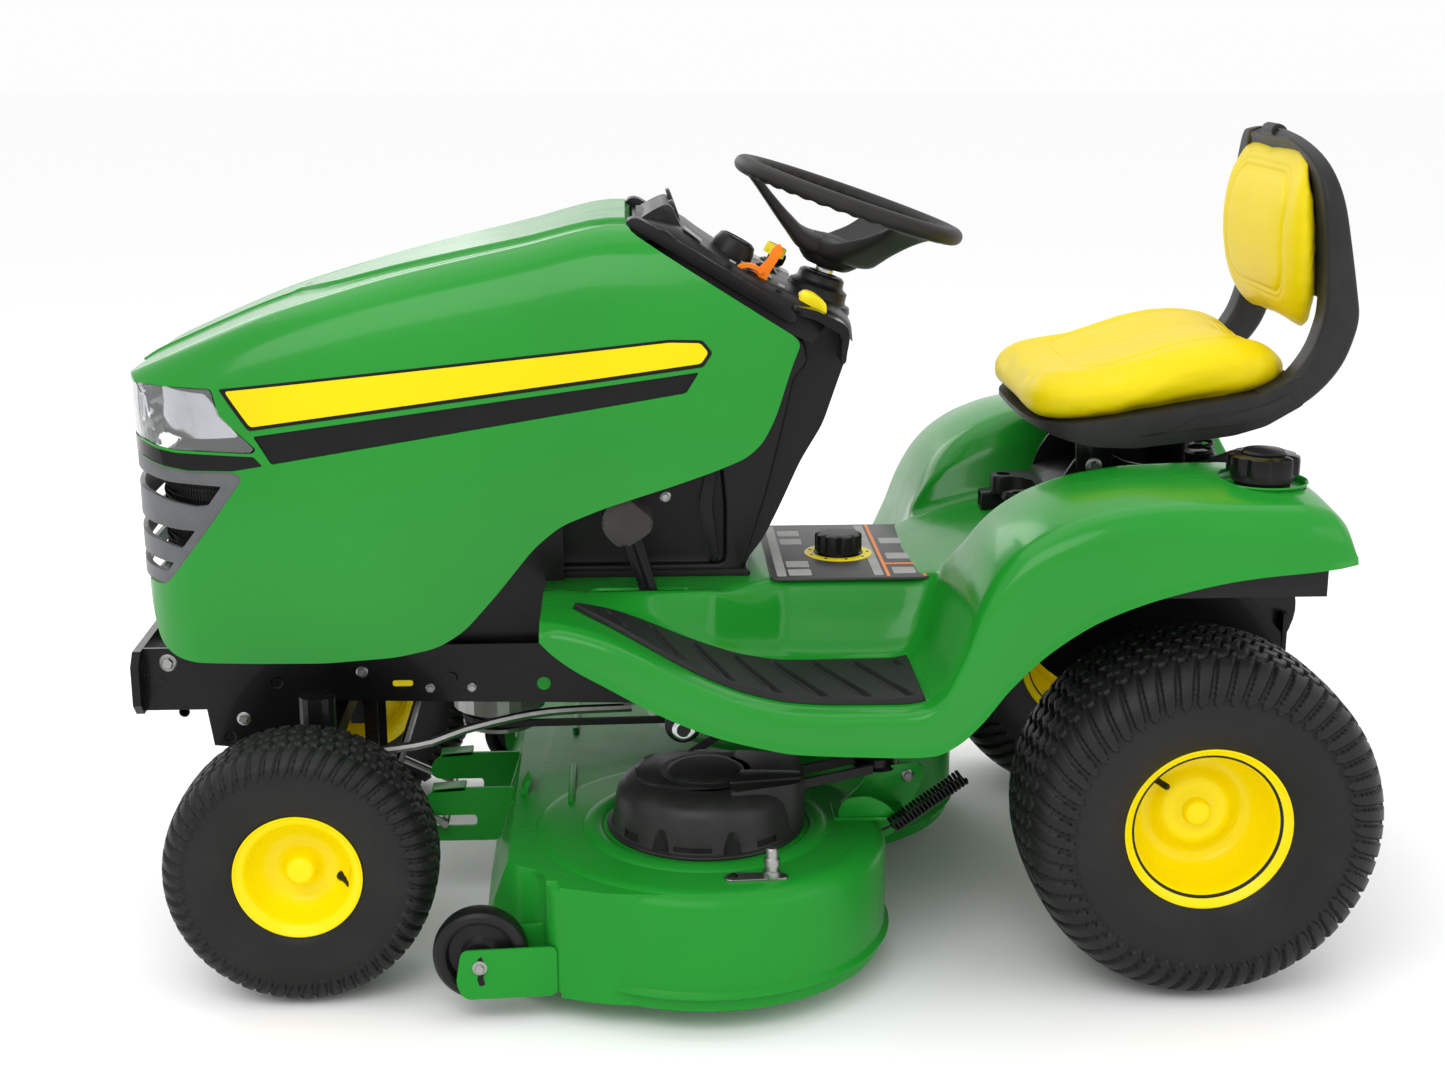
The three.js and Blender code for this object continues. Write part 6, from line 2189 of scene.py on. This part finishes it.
def idler():
    """The black idler arm and the two strands of belt that run into the cover."""
    for k, (start, end) in enumerate((((-76, 262), (-176, 214)), ((-76, 316), (-184, 262)))):
        along = (Vector(end) - Vector(start)).normalized()
        side = Vector((-along.y, along.x)) * 3.6
        line = [
            tuple(Vector(start) + side), tuple(Vector(end) + side), tuple(Vector(end) - side),
            tuple(Vector(start) - side),
        ]
        on_deck(f"belt_strand_{k}", slab("strand", line, 262, 276, "XY", bevel=1), BELT)
    wheel = lathe(
        "idler",
        [(0, 258), (34, 258), (36, 260), (33, 264), (33, 276), (36, 280), (34, 282), (0, 282)],
        (0, 0, 1),
        at(-196, 214, 0),
        48,
    )
    on_deck("idler_wheel", wheel, BLACK_STEEL)
    arm = slab(
        "arm", rounded([(-150, 190), (-236, 190), (-240, 236), (-160, 240)], 12), 283, 288, "XY", bevel=1
    )
    on_deck("idler_arm", arm, BLACK_STEEL)
    on_deck("idler_bolt", hex_bolt("bolt", at(-196, 214, 288), (0, 0, 1), 8, 7), ZINC, 30)


def gauge_wheels():
    for name, x, y in (("left", 375, 476), ("right", 362, -403)):
        wheel = lathe("gauge", GAUGE_PROFILE, (0, 1, 0), at(x, y, GAUGE_HEIGHT), 72)
        obj = piece(
            f"{name}_gauge", wheel, BLACK_MOULDING, f"{name}_gauge",
            [f"{name}_gauge_wheel"],
        )
        smooth(obj, 32)


def chute():
    roof = [
        (-490, 192), (-530, 191), (-566, 186), (-636, 148), (-698, 106), (-702, 92), (-696, 92),
        (-634, 142), (-564, 180), (-528, 185), (-490, 186),
    ]
    cheek = [(-490, 188), (-498, 112), (-560, 92), (-700, 92), (-698, 102), (-636, 144), (-566, 182)]
    top = slab("roof", rounded(roof, 5), -14, 256, "YZ", bevel=2)
    smooth(piece("chute_roof", top, BLACK_MOULDING, "chute", ["discharge_chute"]), 40)
    for k, x in enumerate((-13, 251)):
        side = slab("side", rounded(cheek, 5), x, x + 4, "YZ", bevel=1)
        smooth(piece(f"chute_side_{k}", side, BLACK_MOULDING, "chute"), 40)
    for k, x in enumerate((50, 120, 190)):
        rib = slab(
            "rib",
            rounded([(-500, 190), (-528, 196), (-566, 191), (-690, 114), (-690, 106)], 4),
            x,
            x + 5,
            "YZ",
            bevel=1.5,
        )
        smooth(piece(f"chute_rib_{k}", rib, BLACK_MOULDING, "chute"), 40)


deck_top()
deck_brackets()
hanger("left", 236, -200)
hanger("right", -94, -220)
deck_spring("left", 300, -200)
deck_spring("right", -30, -220)
cover("left", LEFT_SPINDLE, ["left_spindle_cover"])
cover("right", RIGHT_SPINDLE, ["right_spindle_cover"])
idler()
gauge_wheels()
chute()


# ---------------------------------------------------------------- frame details
RAIL_FACE = 172


def frame_details():
    for name, side in (("left", 1), ("right", -1)):
        for k, (x, z, radius) in enumerate(
            ((841, 418, 9), (736, 330, 7), (461, 373, 5), (400, 373, 5), (560, 400, 6))
        ):
            bolt = hex_bolt("bolt", at(x, side * RAIL_FACE, z), (0, side, 0), radius, radius * 0.8)
            smooth(piece(f"{name}_rail_bolt_{k}", bolt, ZINC, "chassis"), 30)
        # Painted shade: each hole in the rail is a gloss black disc with a raised lip, standing in for the
        # dark opening.
        for k, (x, z, wide) in enumerate(
            ((856, 388, 7), (822, 342, 6), (757, 302, 7), (685, 385, 7), (430, 388, 8))
        ):
            hole = lathe("hole", [(0, -0.5), (wide, -0.5), (wide, 0.5), (wide + 2, 0.8), (wide + 2, -0.5)],
                         (0, side, 0), at(x, side * RAIL_FACE, z), 32)
            smooth(piece(f"{name}_rail_hole_shade_{k}", hole, GLOSS_BLACK, "chassis"), 40)
        slot = slab(
            "slot",
            rounded([(486, 377), (486, 386), (516, 386), (516, 377)], 4.4),
            *sorted((side * 171, side * 172.8)),
        )
        smooth(piece(f"{name}_rail_slot", slot, YELLOW_MOULDING, "chassis"), 40)
        window = lathe(
            "window",
            [(0, -0.5), (10, -0.5), (10, 0.8), (0, 0.8)],
            (0, side, 0),
            at(294, side * RAIL_FACE, 378),
            32,
        )
        smooth(piece(f"{name}_rail_window", window, DECK_GREEN, "chassis"), 40)
        shield_line = [(262, 430), (540, 430), (540, 590), (450, 650), (262, 640)]
        shield = slab("shield", rounded(shield_line, 12), *sorted((side * 150, side * 155)), bevel=1)
        smooth(piece(f"{name}_heat_shield", shield, BLACK_MOULDING, "chassis"), 40)
        low, high = sorted((side * 150, side * 157))
        plate_line = [
            (-420, 420), (-440, 548), (-800, 590), (-836, 470), (-780, 350), (-700, 316), (-560, 330),
            (-470, 370),
        ]
        plate = slab("plate", rounded(plate_line, 30), low, high, bevel=1.5)
        smooth(piece(f"{name}_rear_plate", plate, BLACK_STEEL, "chassis"), 35)


def shaft_bush():
    """The black bush where the lift shaft comes through the frame; the bright collar is made with the pedals.
    """
    for name, side, y in (("left", 1, 300), ("right", -1, -176)):
        bush = lathe(
            "bush",
            [(14, 0), (24, 0), (26, 2), (26, 14), (23, 16), (14, 16), (14, 0)],
            (0, side, 0),
            at(92, y, 360),
            48,
        )
        smooth(piece(f"{name}_shaft_bush", bush, BLACK_STEEL, "lift"), 40)


frame_details()
shaft_bush()
